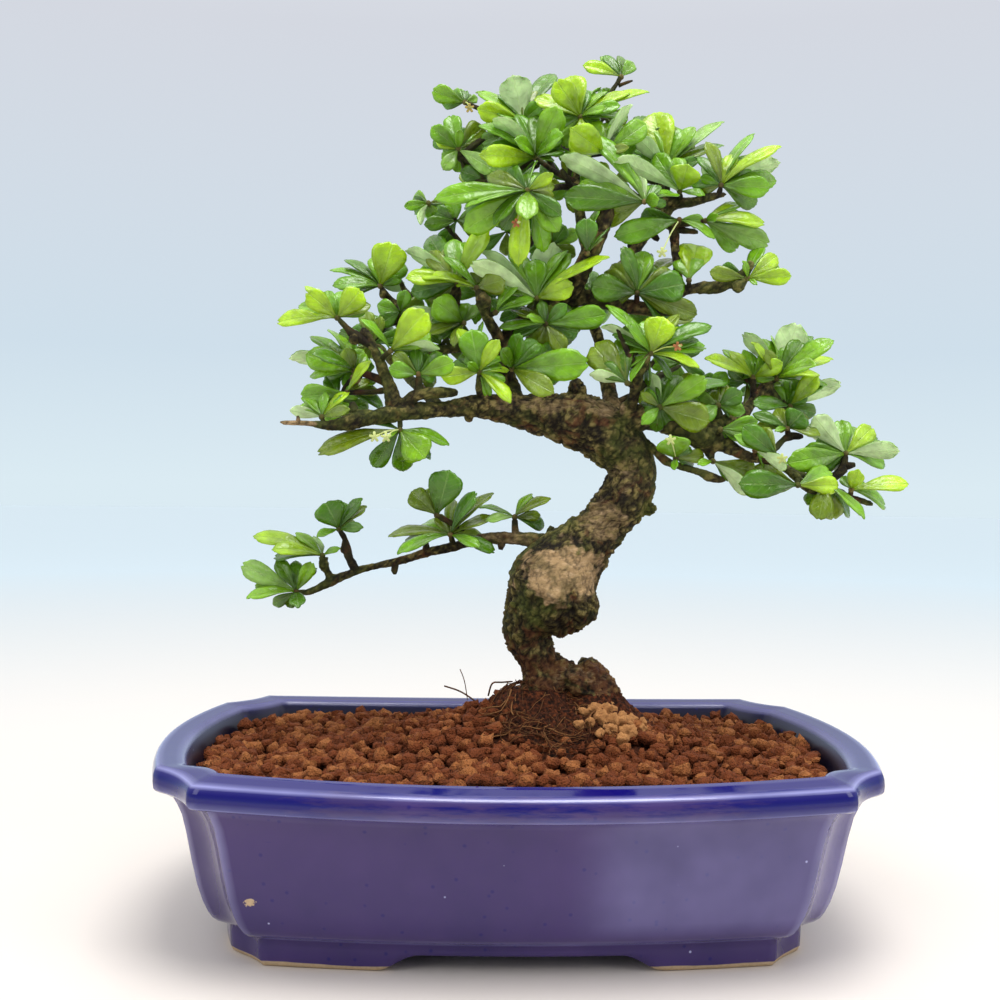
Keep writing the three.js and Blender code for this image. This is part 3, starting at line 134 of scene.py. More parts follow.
# Middle x and y, half width, half depth and height of the mound of granules
MOUND = (13.0, 1.0, 60.0, 48.0, 25.0)
# Middle x and y, half width, half depth, bottom and top of the root ball
ROOT_BALL = (8.5, -2.0, 25.0, 23.0, 62.0, 97.0)
# Middle x and y, half width and half depth of the fine earth round it, and of the heap behind the stump
EARTH_PATCH = (17.0, -19.0, 27.0, 30.0)
STUMP_HEAP = (41.0, -1.0, 24.0, 21.0)
STRANDS = 190
# Tan crumbs of clay beside the stump: x, y, width
CRUMBS = (
    (33, -15, 4.6), (38.5, -12, 6), (45, -14.5, 4.2), (36.5, -20, 5.4), (42, -21, 6.4), (48, -18, 4.8),
    (31, -25, 3.6), (50, -11, 3.8), (53, -20, 3.4), (39, -28, 4.4), (46.5, -27, 5.2), (28, -18, 3.2),
    (34, -33, 3.4), (43, -34, 3.8), (41, -6, 4.6), (55, -12, 3.2), (26, -29, 3),
)
# Strands that stand up from the soil on the left of the trunk: x, z, y, radius
LOOSE_STRANDS = (
    ((-30.8, 97.2, 8, 0.35), (-25, 95.4, 8, 0.35), (-20.5, 93, 8, 0.35), (-15, 89, 8, 0.35)),
    ((-24, 104.6, 6, 0.2), (-22, 99.5, 6, 0.2), (-20.5, 91, 6, 0.2)),
    ((-11.5, 93, 6, 0.4), (-9.8, 98.5, 6, 0.4), (-5.8, 99, 6, 0.4), (-0.9, 99.4, 4, 0.4)),
)

# The twig ends this far from the middle of its bud
BUD_GAP = 2.2
BUD_RADIUS = 1.35
# A leaf is at least this share of its length wide, up to a width
BLADE_RATIO = 0.36
BLADE_MAX_WIDTH = 9.0
# How much nearer or farther than surveyed a leaf may hang
SWINGS = (0, 4, -4, 8, -8, 12, -12, 16, -16, 20, -20)
# From one leaf of a whorl to the next
LEAF_TURN = 2.4
# The solids took their random numbers from one seed, and the soil's came before the back leaves'
SOLID_SEED = 4045
SOIL_DRAWS = 204
TONES = {"b": 0.1, "m": 0.3, "d": 0.5, "o": 0.7, "p": 0.9}
# A leaf hidden farther back in its tuft takes the next darker tone, as painted shade
SHADED_TONE = {"b": "m", "m": "d", "p": "m", "d": "o", "o": "d"}
# The first sprays, on the lowest branch, have no leaves but the ones that show
SPARSE_SPRAYS = 6
# Rows of a leaf from stalk to tip: share of its length, half width of a toothed and of a small leaf
BLADE_ROWS = (
    (0, 0.05, 0.05), (0.1, 0.08, 0.09), (0.24, 0.2, 0.24), (0.4, 0.36, 0.4), (0.57, 0.49, 0.5),
    (0.73, 0.54, 0.53), (0.86, 0.51, 0.47), (0.95, 0.42, 0.36), (1, 0.28, 0.22),
)

# Each limb of the wood, from its foot to its tip: (x, z, y, radius)
LIMBS = (
    ((12, 84, 0, 11.6), (12, 96, 0, 9.6), (11.1, 105, 0, 8.2), (9.2, 111.5, 0, 8.8), (6.2, 118, 0, 10),
     (6.4, 124.5, 0, 12.4), (11, 131, 0, 17.4), (15.5, 138, 0, 21.5), (18, 145, 0, 20),
     (22.5, 152, 0, 16.8), (29, 159, 0, 13), (36, 166, 0, 11), (43.5, 175.5, 0, 11), (49.6, 187, 0, 11),
     (50.3, 193, 0, 10.6), (47.5, 199.5, 0, 11.2), (42, 205.5, 0, 12.5), (34, 210.5, 0, 12.8),
     (25, 214, 0, 12), (15, 216, 0, 10.2), (4, 217, 0, 8), (-8, 218.8, -3, 6.2), (-20, 219.5, -6, 4.9),
     (-32, 218, -9, 3.6), (-54, 216, -14, 4.1), (-62, 214.3, -16, 3.2), (-70, 213.3, -18, 3.9),
     (-77, 210.8, -19, 3.2), (-84, 210.2, -19, 2), (-91, 211, -20, 1.3), (-103.5, 211.2, -22, 1)),
    ((38, 84, 5, 11), (36, 94, 5, 10), (33.2, 102, 4, 8.4), (32, 107, 4, 6.2), (31.6, 109, 4, 4)),
    ((13, 107, 0, 6.6), (21, 103, 0, 6.8), (29, 98, -1, 6.4), (40, 90, -2, 5)),
    ((18, 158.5, 2, 5), (10, 160.6, 3, 4.4), (3, 162, 4, 3.3), (-3, 162.3, 5, 2.9), (-10, 162.2, 5, 2.8),
     (-18, 161.2, 6, 2.4), (-26, 158.5, 6, 2.2), (-40, 155.2, 7, 2.2), (-50, 152, 8, 1.9),
     (-64, 148.7, 9, 1.7), (-70, 146.9, 9, 1.9), (-80, 142.6, 10, 2.1), (-90, 137.7, 11, 1.5),
     (-95, 134.3, 11, 1.5)),
    ((-70, 147.5, 9, 2.2), (-72.5, 152, 8, 1.8), (-74.2, 157, 7, 2.3), (-74.8, 161, 6, 1.3),
     (-75.2, 163.4, 6, 1.1)),
    ((-80.5, 143, 10, 1.9), (-82.5, 147, 9, 1.5), (-83.8, 149.3, 8, 2.5), (-84.1, 151, 8, 1.7)),
    ((-19, 162, 6, 1.6), (-25, 165.5, 2, 1.4), (-29, 168.5, 0, 1.4), (-32, 170.3, -1, 2.2)),
    ((-0.5, 163, 5, 1.9), (-0.6, 168.6, 4, 1.4)),
    ((-54, 214, -14, 4), (-54.6, 221, -13, 3.8), (-56.3, 227.5, -12, 3.2), (-58.8, 234, -11, 2.5),
     (-61.8, 241, -10, 2.3), (-65, 247.5, -9, 2.1), (-68.4, 252.8, -8, 1.6)),
    ((-64, 245, -9.5, 1.8), (-68, 247.5, -9, 2), (-71.5, 249.3, -8, 2.4), (-75, 252.6, -8, 1.5),
     (-77.6, 254.8, -8, 1.1)),
    ((-57.5, 229, -11, 2), (-63, 231.5, -7, 1.8), (-69.5, 231.2, -4, 2)),
    ((-57, 226.3, -11, 1.5), (-64, 225, -10, 1.2), (-71.5, 223, -10, 1.1)),
    ((-71, 215, -18, 2.4), (-72.2, 220.3, -16, 1.8)),
    ((-50, 218, -12, 3.2), (-45, 224, -14, 2.8), (-38, 225, -14, 2.6), (-31, 225.3, -13, 2.5),
     (-26, 225.3, -12, 1.8)),
    ((-43.5, 225, -14, 2.4), (-43.4, 229.6, -15, 2.2)),
    ((-14, 221, -5, 3), (-16.5, 227, -8, 2.4), (-17.4, 231, -10, 2)),
    ((-2, 217, 0, 6.4), (-4.5, 227, 3, 5), (-6, 235, 5, 3.9), (-7, 243, 8, 3.5), (-5, 251, 9, 3.3),
     (2, 257, 9, 3.4), (11, 262.5, 9, 3.6), (21, 267, 9, 3.8), (32, 267.3, 8, 3.8), (43, 265, 7, 3.5),
     (53, 263.5, 6, 3.2), (61, 262.6, 6, 2.5), (68.2, 262.3, 6, 1.8)),
    ((-7, 243, 8, 2.8), (-9.5, 250, 4, 2.5), (-13, 256, 2, 2.4), (-15, 260.5, 0, 2.5),
     (-15.8, 265, -1, 3.5), (-16.3, 268, -1, 1.8)),
    ((-7, 242, 8, 2.4), (-18, 245, 16, 2.3), (-29, 244.5, 20, 2.2), (-40, 243, 22, 2),
     (-48, 248, 24, 1.9), (-53, 256, 24, 2), (-53.5, 262, 24, 2.4), (-57, 265.5, 22, 1.8),
     (-59.8, 267.6, 20, 1.9)),
    ((-53.5, 261, 24, 2.2), (-48.5, 265.8, 24, 2.5), (-50.5, 270, 24, 1.3), (-54.6, 278.8, 24, 0.9)),
    ((-24, 245, 18, 2.1), (-27.5, 256, 16, 2.1), (-28.3, 264, 12, 2.5), (-27.8, 269, 10, 2.6)),
    ((-28, 261, 14, 1.6), (-27, 276, 24, 1.5), (-26, 289, 24, 1.3), (-31, 296, 22, 1.1),
     (-38.6, 304, 20, 1.5), (-45.6, 308.6, 19, 0.8)),
    ((21, 266, 9, 4.2), (24.5, 274, 4, 4.3), (28, 282, 0, 4.2), (31.5, 289, -2, 4.1), (35, 296, -3, 3.7),
     (37, 303, -3, 3.5), (38.5, 308.5, -3, 3.2), (42, 311.5, -4, 2.5), (47.8, 313.6, -5, 1.8)),
    ((30, 287, -1, 2.8), (27, 297, 0, 2.6), (25.6, 306, 1, 2.1), (24, 315, 2, 1.9), (24.5, 326, 4, 1.7),
     (25.3, 335, 5, 1.5), (25.4, 342.8, 6, 1.3)),
    ((25.3, 336, 5, 1.2), (31, 347, 12, 1), (37.5, 355.5, 16, 1), (42.3, 361, 18, 1.2)),
    ((42, 360.3, 18, 1), (48, 362.6, 18, 0.6)),
    ((24, 313, 2, 1.5), (20.5, 318, -4, 1.3), (17.3, 323.5, -7, 1.2)),
    ((24.5, 316, 2, 1.5), (16, 315.5, -4, 1.3), (9, 313.5, -9, 1.2), (3.5, 310.8, -12, 1.5)),
    ((24, 318, 2, 1.4), (15, 322, 4, 1.2), (6.5, 325, 5, 1.6)),
    ((15, 322, 4, 1.2), (8, 333, 14, 1.1), (1, 341, 20, 1)),
    ((1.5, 340, 19, 1), (-12, 346, 27, 0.9), (-23, 350.2, 32, 0.9)),
    ((8, 331, 13, 1.2), (-4, 321, 20, 1.1), (-17.5, 317.4, 24, 0.9), (-24, 321.3, 26, 1),
     (-27.2, 327.2, 26, 1.9)),
    ((31, 266.8, 8, 3.6), (36, 273, 12, 3.4), (41, 278, 14, 3.3), (45.5, 281.5, 15, 3.2),
     (49.3, 288, 16, 3.1), (53.5, 294.5, 17, 3.1), (58, 299.5, 17, 3.2), (62.5, 301.5, 14, 2.8),
     (67, 299.6, 10, 2.4)),
    ((71, 271, 4, 2.3), (69.4, 276, 5, 2), (68.6, 283, 7, 1.9), (67.8, 290, 8, 2.1), (67, 299.6, 10, 2.4)),
    ((56, 297.5, 17, 3.4), (61, 304.5, 18, 4.2), (65, 309.5, 17, 4.2), (70, 309.8, 14, 2.8),
     (76, 310.6, 10, 2.1), (82, 312.4, 6, 1.9), (90.5, 314.2, 2, 0.9)),
    ((67.3, 300, 9, 1.7), (73, 301, 8, 1.5), (78, 301.3, 7, 1.1)),
    ((56, 263.3, 6, 2.9), (62, 265, 5, 2.6), (67, 268, 4, 2.3), (71, 271, 4, 2.4), (76, 272.4, 3, 2.2),
     (81, 272.9, 2, 2.9), (87, 273.3, 0, 2.9), (92, 275.2, -2, 2.3), (96, 278, -4, 2), (99.2, 281, -5, 2),
     (101.6, 285, -6, 2.1)),
    ((93, 275.5, -3, 2), (95.8, 273.8, -4, 2.6), (97.5, 274.8, -4, 1.6)),
    ((48, 217, -4, 3.4), (50.8, 226, -12, 2.5), (51.6, 232, -16, 2.6), (53, 237.5, -18, 2.8),
     (56, 241, -19, 1.8)),
    ((51.5, 236.5, -17, 1.7), (47.5, 244.5, -18, 1.5), (45.3, 249, -18, 1), (42.7, 254.2, -18, 0.7)),
    ((51.5, 228, -13, 1.8), (59.5, 233, -4, 1.5), (66, 236, 2, 1.1), (71, 238.7, 6, 0.8)),
    ((44, 211, -2, 8.5), (53, 215.5, -4, 6.4), (60, 215, -6, 4.7), (67, 212.7, -7, 4.8),
     (74, 210.5, -8, 6.2), (80.5, 208.6, -8, 7), (86, 206.6, -8, 5.6), (91, 204.3, -9, 3.7)),
    ((82, 211, -7, 4.5), (88, 213.2, -4, 3.6), (94, 215.6, 0, 3), (99, 218, 4, 2.6), (102, 222, 8, 2.3),
     (105, 226.5, 10, 2.5), (108.6, 229.6, 12, 3.1), (110, 234.3, 13, 2.3)),
    ((103.5, 225, 9, 1.9), (103, 231, 10, 1.7)),
    ((108.4, 229.6, 12, 2.7), (112.2, 225.3, 13, 2.5), (115.6, 220.3, 14, 2.5), (117, 216.8, 15, 1.7)),
    ((87, 213.4, -4, 2.3), (87.5, 218.4, -7, 1.7)),
    ((86, 206.8, -9, 5), (93, 203.4, -12, 3.3), (98, 200.8, -14, 2.7), (103, 198.8, -16, 2.2),
     (108, 197.7, -17, 1.6), (113, 196.3, -18, 1.5), (118, 194.3, -18, 1.9), (122, 191.3, -19, 2.3),
     (126, 186.8, -18, 1.6), (131, 183.8, -16, 1.4), (141, 184.8, -14, 1.4), (146, 181.9, -13, 1.7),
     (151, 180.8, -13, 1.5), (157.3, 178.7, -12, 1.3)),
    ((121.5, 192, -18, 1.8), (129, 190.9, -12, 1.2), (136, 190.2, -6, 1.3), (140, 191.2, -4, 2),
     (143.3, 194.2, -3, 2.2), (144.6, 198, -3, 1.6)),
    ((107, 198, -17, 1.6), (112, 201.5, -8, 1.4), (116, 206, -2, 1.4), (119.5, 208.3, 0, 1.8),
     (125.3, 208.4, 1, 1.6)),
    ((83, 204, -9, 3.4), (84.6, 199.8, -10, 2.2)),
    ((54, 205, -2, 2.8), (60, 201.7, -5, 1.9), (64.3, 197.2, -8, 2.2), (69, 195.3, -10, 1.6),
     (80, 192.2, -12, 1.8), (84, 190.4, -12, 2.3), (88.5, 189, -11, 1.8), (92, 189, -10, 1)),
    ((47, 199, 4, 6.4), (45, 208, 16, 4.8), (41, 221, 27, 3.8), (38, 236, 34, 3.1), (35, 249, 38, 2.5),
     (31, 260, 41, 2)),
    ((33, 254, 39, 2), (22, 272, 36, 1.8), (12, 286, 38, 1.6), (6, 305, 40, 1.3)),
    ((38, 235, 34, 2.2), (50, 244, 39, 1.8), (61, 251, 46, 1.3)),
    ((12, 284, 38, 1.5), (-2, 297, 44, 1.3), (-13, 306, 50, 1.1)),
    ((-34, 218, -8, 3), (-42, 226, 14, 2.5), (-53, 236, 34, 2), (-62, 245, 43, 1.5)),
    ((84, 208.6, -5, 4), (90, 213, 14, 2.7), (99, 221, 30, 2.1), (107, 229, 40, 1.5)),
    ((64, 308, 18, 2.6), (61, 318, 36, 1.8), (57, 326, 48, 1.4)),
    ((25, 330, 5, 1.5), (22, 332, 24, 1.3), (18, 334, 40, 1.2)),
)

# Leaves seen nearly edge on: number of the spray, of its tuft, and the leaf
THIN_LEAVES = (
    (2, 0, (-77.2, 157.3, 2.5, -4)), (3, 0, (-87, 162, 3, -8)), (4, 0, (-31.3, 177.5, 3, 9)),
    (5, 0, (-22, 172.3, 2.5, 9)), (6, 0, (-17.5, 176.2, 2.2, 6)), (7, 1, (-80, 218.7, 3, -7)),
    (11, 0, (-67.5, 257.3, 2.6, -8)), (12, 0, (-58, 204.3, 1.6, -6)), (15, 2, (3.8, 259.5, 3, -8)),
    (16, 0, (-24, 305.5, 3, -8)), (16, 1, (14.6, 327.5, 2.5, 4)), (22, 0, (80.6, 313.6, 3, -6)),
    (23, 0, (85.5, 295.5, 3, -6)), (23, 1, (86.5, 305, 4, -9)), (26, 0, (104.2, 274.6, 2, -4)),
    (26, 0, (97.6, 285, 2.5, -8)), (30, 1, (111.8, 252.8, 2.5, 8)), (32, 0, (113.3, 211.2, 2, -4)),
    (35, 0, (113, 184.2, 3, 4)), (38, 0, (79, 195.4, 3, -6)), (39, 0, (69, 193, 3, -8)),
    (40, 1, (6.6, 229.2, 3, 4)),
)
# Tufts inside the crown that the outer ones half hide: (x, z, y)
INNER_TUFTS = (
    (-8, 338, 22), (6, 342, 30), (20, 348, 26), (36, 346, 24), (52, 338, 26), (66, 330, 24),
    (-16, 318, 24), (2, 316, 30), (20, 318, 34), (38, 318, 30), (-28, 300, 20), (-6, 296, 26),
    (14, 290, 30), (-34, 276, 20), (-16, 268, 26), (2, 262, 30), (-52, 260, 16), (-64, 246, 12),
    (-34, 246, 22), (-14, 240, 26), (8, 244, 30), (22, 262, 30), (58, 250, 24), (70, 240, 22),
    (84, 226, 20), (100, 232, 16), (118, 222, 14), (-74, 236, 8), (-78, 222, 4), (64, 226, 24),
)

# Flowers and calyxes: x, z, how dry
FLOWERS = (
    (-62.5, 205.5, 0), (-57.5, 205.5, 0), (-4, 333.5, 0.9), (-23, 349, 0.4), (-2, 299.5, 0.9),
    (62, 288, 0), (67, 206, 0), (69.5, 247, 0.7), (116.5, 198.5, 0.1),
)

# Each spray of tufts: the bud, the twig behind it, a tone for every leaf, and the leaves. A leaf is
# (tip x, tip z, width that the eye sees, how far its tip lies behind the bud); it is negative where
# its underside shows.
SPRAYS = (
    (((-95.5, 137.9, 10), (-94, 136, 11), "mpmdd", (
        (-117.2, 136.2, 4.5, -6), (-119.6, 149.5, 9, 6), (-88.6, 151, 6, -4), (-86.6, 147.8, 3.5, 6),
        (-94.8, 131.6, 7, -10))),),
    (((-84.4, 153.6, 8), (-84.1, 151, 8), "bbdp", (
        (-105.8, 157.5, 5.5, -8), (-114.6, 163.3, 6.5, 4), (-105.8, 153.4, 5.5, 8), (-88, 162, 3, 10))),),
    (((-77.4, 165.2, 5), (-75.2, 163, 6), "dddod", (
        (-83.5, 177, 13, -3), (-76.8, 177, 8, 6), (-67.3, 178.8, 4.5, 4), (-65.6, 175.7, 4, -6),
        (-67.6, 166.4, 4.5, -8))),),
    (((-35, 171.8, -3), (-32, 170.3, -1), "do", (
        (-29.6, 191.8, 14, -4), (-46.4, 182, 9, 4))),),
    (((-29, 163.4, -1), (-27.5, 159, 6), "mopdomd", (
        (-52.3, 156, 4.5, -8), (-56.4, 164.6, 4.6, 6), (-40.5, 169.3, 6, 9), (-17.6, 182.2, 5.5, -4),
        (-10, 181.6, 4.2, 6), (-16, 157.8, 4.5, -8), (-9.6, 155.6, 5.5, -12))),),
    (((-1, 171.4, 4), (-0.6, 168, 4), "pmod", (
        (-13.4, 170.4, 3.4, -6), (6.2, 182.2, 3.6, 5), (14.2, 180.6, 3.8, -4), (12.3, 167.6, 6, 9))),),
    (((-85.4, 213.8, -19), (-84.5, 210.5, -19), "pbo", (
        (-99.4, 216.4, -5, 5), (-73.6, 225, 3.6, 7), (-73.4, 217.5, 4.5, -6))),
     ((-74.6, 224.6, -11), (-71.5, 223, -10), "mbd", (
        (-94.8, 222.6, 9.5, 4), (-64, 238.3, 3.6, -6), (-58, 219.5, 5.5, 7)))),
    (((-71.8, 234.2, -4), (-69.5, 231.5, -4), "mpdmomm", (
        (-92.8, 240.8, 10, -4), (-100, 238.8, -5.5, 6), (-89.2, 241.5, 4.5, -12), (-66.2, 241.8, 4, 5),
        (-75.5, 244, 7, -3), (-91, 248, 5, 10), (-82, 253, 5, 14))),),
    (((-79.2, 256.9, -8), (-77.6, 254.8, -8), "bbbob", (
        (-105.4, 254.6, 6.5, 3), (-92.6, 268, 8.5, -6), (-69, 269.3, 10.5, -3), (-64.8, 263, 5, -9),
        (-93.5, 269.8, 4, 9))),),
    (((-60.8, 271, 19), (-59.8, 267.6, 20), "bmmpp", (
        (-55.5, 290.3, 15, -5), (-81.3, 272, 5.5, -6), (-82.7, 277.6, 3, 6), (-69.5, 278.8, 3.5, 9),
        (-50, 272, -6, 8))),),
    (((-56, 243, -16), (-60.5, 239, -10.5), "bp", (
        (-40.5, 260.7, 12.5, -6), (-34.6, 245, -4.6, -6))),
     ((-43.8, 233, -16), (-43.4, 229, -15), "mmoo", (
        (-56.6, 235.6, 7, -6), (-28, 238.7, 8, -4), (-55, 242.2, 6, 0), (-36.5, 228.5, 6, 8)))),
    (((-51.5, 208.8, -15), (-51.5, 214, -14), "omm", (
        (-87.7, 199, 7, -3), (-40.2, 196.4, 13, -5), (-29.5, 203.2, 4.5, 4))),),
    (((-27.4, 273, 8), (-27.8, 269, 10), "bdbpd", (
        (-49.6, 275.6, 6.5, -6), (-47.6, 268.4, 8, -9), (-13.8, 297.6, 8, -8), (-49.8, 287, -5.5, 8),
        (-39.5, 293, 10, 12))),
     ((-18.9, 271, -2), (-16.3, 268, -1), "bbo", (
        (-45, 277.3, 4.2, 4), (-27.6, 272.6, 3, 9.5), (-6.5, 275, 11, 7)))),
    (((-24.3, 255.6, 9), (-27.3, 255, 16), "mppoo", (
        (-37.5, 265.3, 12, -6), (-50, 258.8, -7, -6), (-18, 263.7, 5, 6), (-40.5, 250.6, 4.5, -8),
        (-29, 246, 4, -10))),),
    (((-10.6, 260.4, -3), (-14, 258.8, 1), "pm", (
        (4.5, 274, -7, -5), (6.6, 266, 4, 5.5))),
     ((7.4, 267, 2), (7.5, 261, 9), "ppbbp", (
        (-18.3, 286.4, -5, 4), (-21.8, 283, -8, 8), (23, 273, 9, -9), (38.6, 286.3, 4, -8),
        (14.5, 291.2, -14, 9))),
     ((11.5, 255.8, 0), (11, 261, 8), "mddomdo", (
        (38.3, 260.5, 10, -6), (9.2, 266, 5, 2), (20.5, 264.8, 6, -5), (20, 244, 7.5, -4),
        (-9, 252.8, 4, -6), (-3, 250.6, 5.5, -2), (12, 243.2, 9, 5)))),
    (((2.8, 313.8, -13), (3.5, 310.8, -12), "mdmddmmbbm", (
        (-38, 309.7, 8, -4), (-6.8, 322.6, 9, 5), (-25, 295.6, 11, 4), (-11.6, 298.6, 5, -5),
        (17.3, 303.6, 7, -6), (2.5, 301.3, 9, -14), (16.8, 296, 9, -10), (-1, 280.8, 8.5, -2),
        (14, 321.5, 5, -5), (5.6, 326, 4, 17))),
     ((5.8, 328.2, 4), (6.5, 325, 5), "mpmdbmm", (
        (16.2, 350.9, 11, -5), (-12.4, 345.6, -7, -3), (-18.6, 341.8, 3.5, 5), (-14.5, 332.6, 7, 8),
        (-19.7, 328.8, 9, -9), (-2.5, 336, 4, -7), (19, 337.8, 6, -8)))),
    (((0, 343.8, 19), (1, 341, 20), "pdmbmmm", (
        (-4.3, 363.7, -14, -3), (13.6, 366.3, 7.5, 8), (-20.3, 356.3, 4.5, 2), (-19.8, 349, 9, -6),
        (-10.5, 355.8, 4, 9), (8.7, 351.6, 8, -8), (-11.2, 346.8, 3, -9))),),
    (((25.4, 346.2, 6), (25.4, 342.8, 6), "bbbmmbbmb", (
        (14.6, 362, 10.5, -6), (20.5, 364.3, 12, 4), (5, 353.6, 6, -9), (42.6, 352.4, 5.5, -5),
        (37, 350.2, 3, -9), (46.6, 358.4, 4.2, -2), (55.4, 357.8, 3.8, 6), (32.6, 359.5, 3, 10),
        (27.5, 328.4, 12, -11))),),
    (((42.9, 364, 18), (42.3, 361, 18), "bm", (
        (26.5, 369.4, 5.5, -4), (48.7, 371.2, 6, 4))),),
    (((36, 330.6, 0), (24.8, 329, 4), "bmopp", (
        (22, 340.6, 12, -7), (54.6, 344.3, 9.5, 3), (47, 333.4, 4, -7), (43, 346, -5, 8),
        (48, 352.2, -4, 10))),),
    (((63.8, 324.2, 20), (64.2, 310, 18), "pbpdm", (
        (50.4, 338.6, -7.5, -8), (57.2, 349.9, 15, 3), (88.6, 345.4, 4.5, 8), (78, 328.4, 5, -6),
        (76, 342.6, 6, 10))),),
    (((69.4, 314.8, 10), (69.6, 311, 13), "bp", (
        (73, 327, 13, -5), (41.2, 327.5, -8, -5))),
     ((54, 310, -8), (47.8, 313.6, -5), "ppmmd", (
        (16.6, 329.4, -8, -6), (51.8, 321, -4, 5), (68.4, 314, 4.5, 17), (60.5, 311.4, 6, -8),
        (18, 311.6, 10.5, -1)))),
    (((69.4, 302.4, 5), (67, 299.6, 9), "mm", (
        (41.9, 294.8, 10, -8), (80.4, 302.6, 5, 0))),
     ((81, 302.2, 5), (78, 301.3, 7), "bbp", (
        (94.5, 308.7, 5, 4), (107.4, 302.2, 5.5, -4), (109.2, 292.5, 9.5, -9)))),
    (((87.6, 317.8, 3), (86.6, 313.6, 4), "obbpmmpd", (
        (81.6, 337.2, 5.5, -4), (93, 332, 6, 4), (113.2, 336.9, 5, -5), (112, 329, -8, 8),
        (109.4, 317.4, 9, -6), (112.6, 321.5, 8, 11), (78.5, 327, -6, 11), (74.2, 317.6, 4, 9))),),
    (((51.2, 270.2, 0), (51.2, 265.4, 5), "ddmodo", (
        (72.8, 274.6, 13, -1), (31, 272.8, 11.5, -5), (54.5, 288.6, 9, 7), (67.5, 287, 6, 14),
        (45, 290.3, 6, 10), (78.2, 261, 9, 9))),
     ((74, 276, 0), (74.2, 272, 3.4), "b", (
        (77.3, 291.6, 14.5, 4),))),
    (((99.8, 277.3, -6), (97.5, 274.9, -4), "bbo", (
        (119.4, 278.8, 7, -4), (113.4, 288, 7, 4), (83, 280, 6.5, 10))),),
    (((57.7, 243.8, -20), (56, 241, -19), "bdmbmmbmp", (
        (63, 260, 12.5, -3), (84, 258.1, 6, -6), (82, 246.4, 5.5, 4), (79.6, 239.8, 3.5, -6),
        (38.8, 265.9, 4.5, 5), (46, 255.6, 4, -8), (73.5, 256.5, 5, 10), (48.6, 231.6, 2.4, -2),
        (36.6, 256.2, -3, 10))),
     ((47.6, 230.6, -20), (50.8, 229, -14), "odp", (
        (32.3, 247, 13.5, -5), (45, 251.5, 8, 7), (31, 234.6, -5, 6)))),
    (((62, 220.4, -14), (61, 216, -8), "mopodm", (
        (82.6, 233.6, 9, -5), (84.2, 214.2, 12, -9), (58, 235.7, -5, 5), (53.6, 226.6, 4, 3),
        (91.8, 234.8, 5.5, 10), (54.4, 213, 5, -6))),),
    (((87.8, 221.6, -9), (87.5, 218.2, -7), "dmpm", (
        (98.3, 227.6, 8, -4), (99.8, 218.8, 6, -7), (78, 226.4, 5, 5), (80, 215.4, 7, -9))),),
    (((103, 234, 10), (103, 231, 10), "bbbp", (
        (81.4, 242, 5, -4), (92.4, 245.2, 4.5, 5), (116, 241, 7, -7), (95, 239.6, -4, 8))),
     ((113.6, 233.6, 10), (110.6, 232, 12), "pbopmbmbm", (
        (98.8, 253.9, -6.5, 5), (102, 249.6, 3, -5), (108.4, 246.4, 5, -8), (122.4, 258.2, -13.5, 4),
        (138.7, 251, 7, -6), (138.4, 243, 4.5, 4), (130.5, 240.2, 5, -5), (132.2, 236.8, 2.5, -9),
        (103.6, 234.6, 5, 0)))),
    (((119.6, 221.6, 13), (115.6, 220.4, 14), "bpd", (
        (131.5, 236, 8, -5), (142.9, 231.4, -7, 5), (103.4, 223, 6, -8))),),
    (((118.6, 212, -2), (119, 208.3, 0), "ddo", (
        (103, 217.9, 5, 5), (125, 219, 11.5, -4), (133.4, 209.4, 4, -5))),),
    (((144.6, 201.2, -4), (144.6, 198, -3), "pbppmo", (
        (130, 217.8, -9.5, -3), (157, 213.6, 8.5, 5), (168.6, 203, -7.5, -4), (127.6, 209.2, -3, 6),
        (118.2, 196.6, 10, -8), (138.8, 193.5, 4, 5))),),
    (((147.4, 185.3, -17), (147, 181.8, -13), "bdbb", (
        (150.4, 194.2, 7, -5), (143, 191, 4, 5), (173, 187.6, 6.5, -4), (154, 188.4, 3, 6))),),
    (((123.6, 187, -23), (123, 190.4, -19), "bd", (
        (142.3, 187.2, 7.5, 2), (98.3, 187.3, 11.5, -5))),
     ((136.2, 187.4, -19), (136, 184.4, -15), "oom", (
        (133.2, 172.2, 9.5, -6), (139.8, 171.8, 9.5, 6), (154.2, 173, 3.5, -6)))),
    (((114.3, 199.6, -21), (113.5, 196.5, -18), "dm", (
        (99.2, 212, 9, -5), (105.4, 202, 4.5, 1))),
     ((104.4, 202, -20), (104, 199, -16), "pm", (
        (118.8, 194.2, -5.5, -7), (96, 208.6, 4, -6)))),
    (((88.8, 211, -16), (87, 208, -10), "mmp", (
        (105.6, 214.8, 6.5, -4), (99, 207.4, 5, 6), (106.2, 204, 4, -6))),),
    (((85.8, 197, -14), (84.6, 199.8, -10), "po", (
        (101.9, 182.4, -6, -5), (105.2, 192.5, 8, 5))),),
    (((69.4, 198, -15), (69, 195.3, -10), "mo", (
        (67.5, 207.8, 14, -5), (82.4, 199.6, 6, 5))),),
    (((-17.4, 234.4, -12), (-17.4, 231, -10), "bmbbmbmb", (
        (-33.5, 232, 7.5, -5), (-21, 253, 12, -5), (-26.5, 253.5, 6, 6), (-9, 248.6, 6, -4),
        (-15.5, 256.5, 3, 5), (-4.4, 235.2, 3.2, 8), (-22.5, 238.6, 4, 8), (-3, 222.2, 5, -9))),
     ((-3, 236, -4), (-4.2, 231, 1), "ddmo", (
        (1, 251.6, 6.5, 4), (-7.6, 244.4, 5.5, -4), (29.6, 239.2, 13, -9), (14.6, 226.2, 9, -4)))),
    (((29.2, 287, -8.6), (30, 286, -3), "dm", (
        (28.6, 302.6, 9, -5), (33, 307.6, 4, -2))),),
    (((-27.7, 331, 25), (-27.2, 327.2, 26), "mmbompp", (
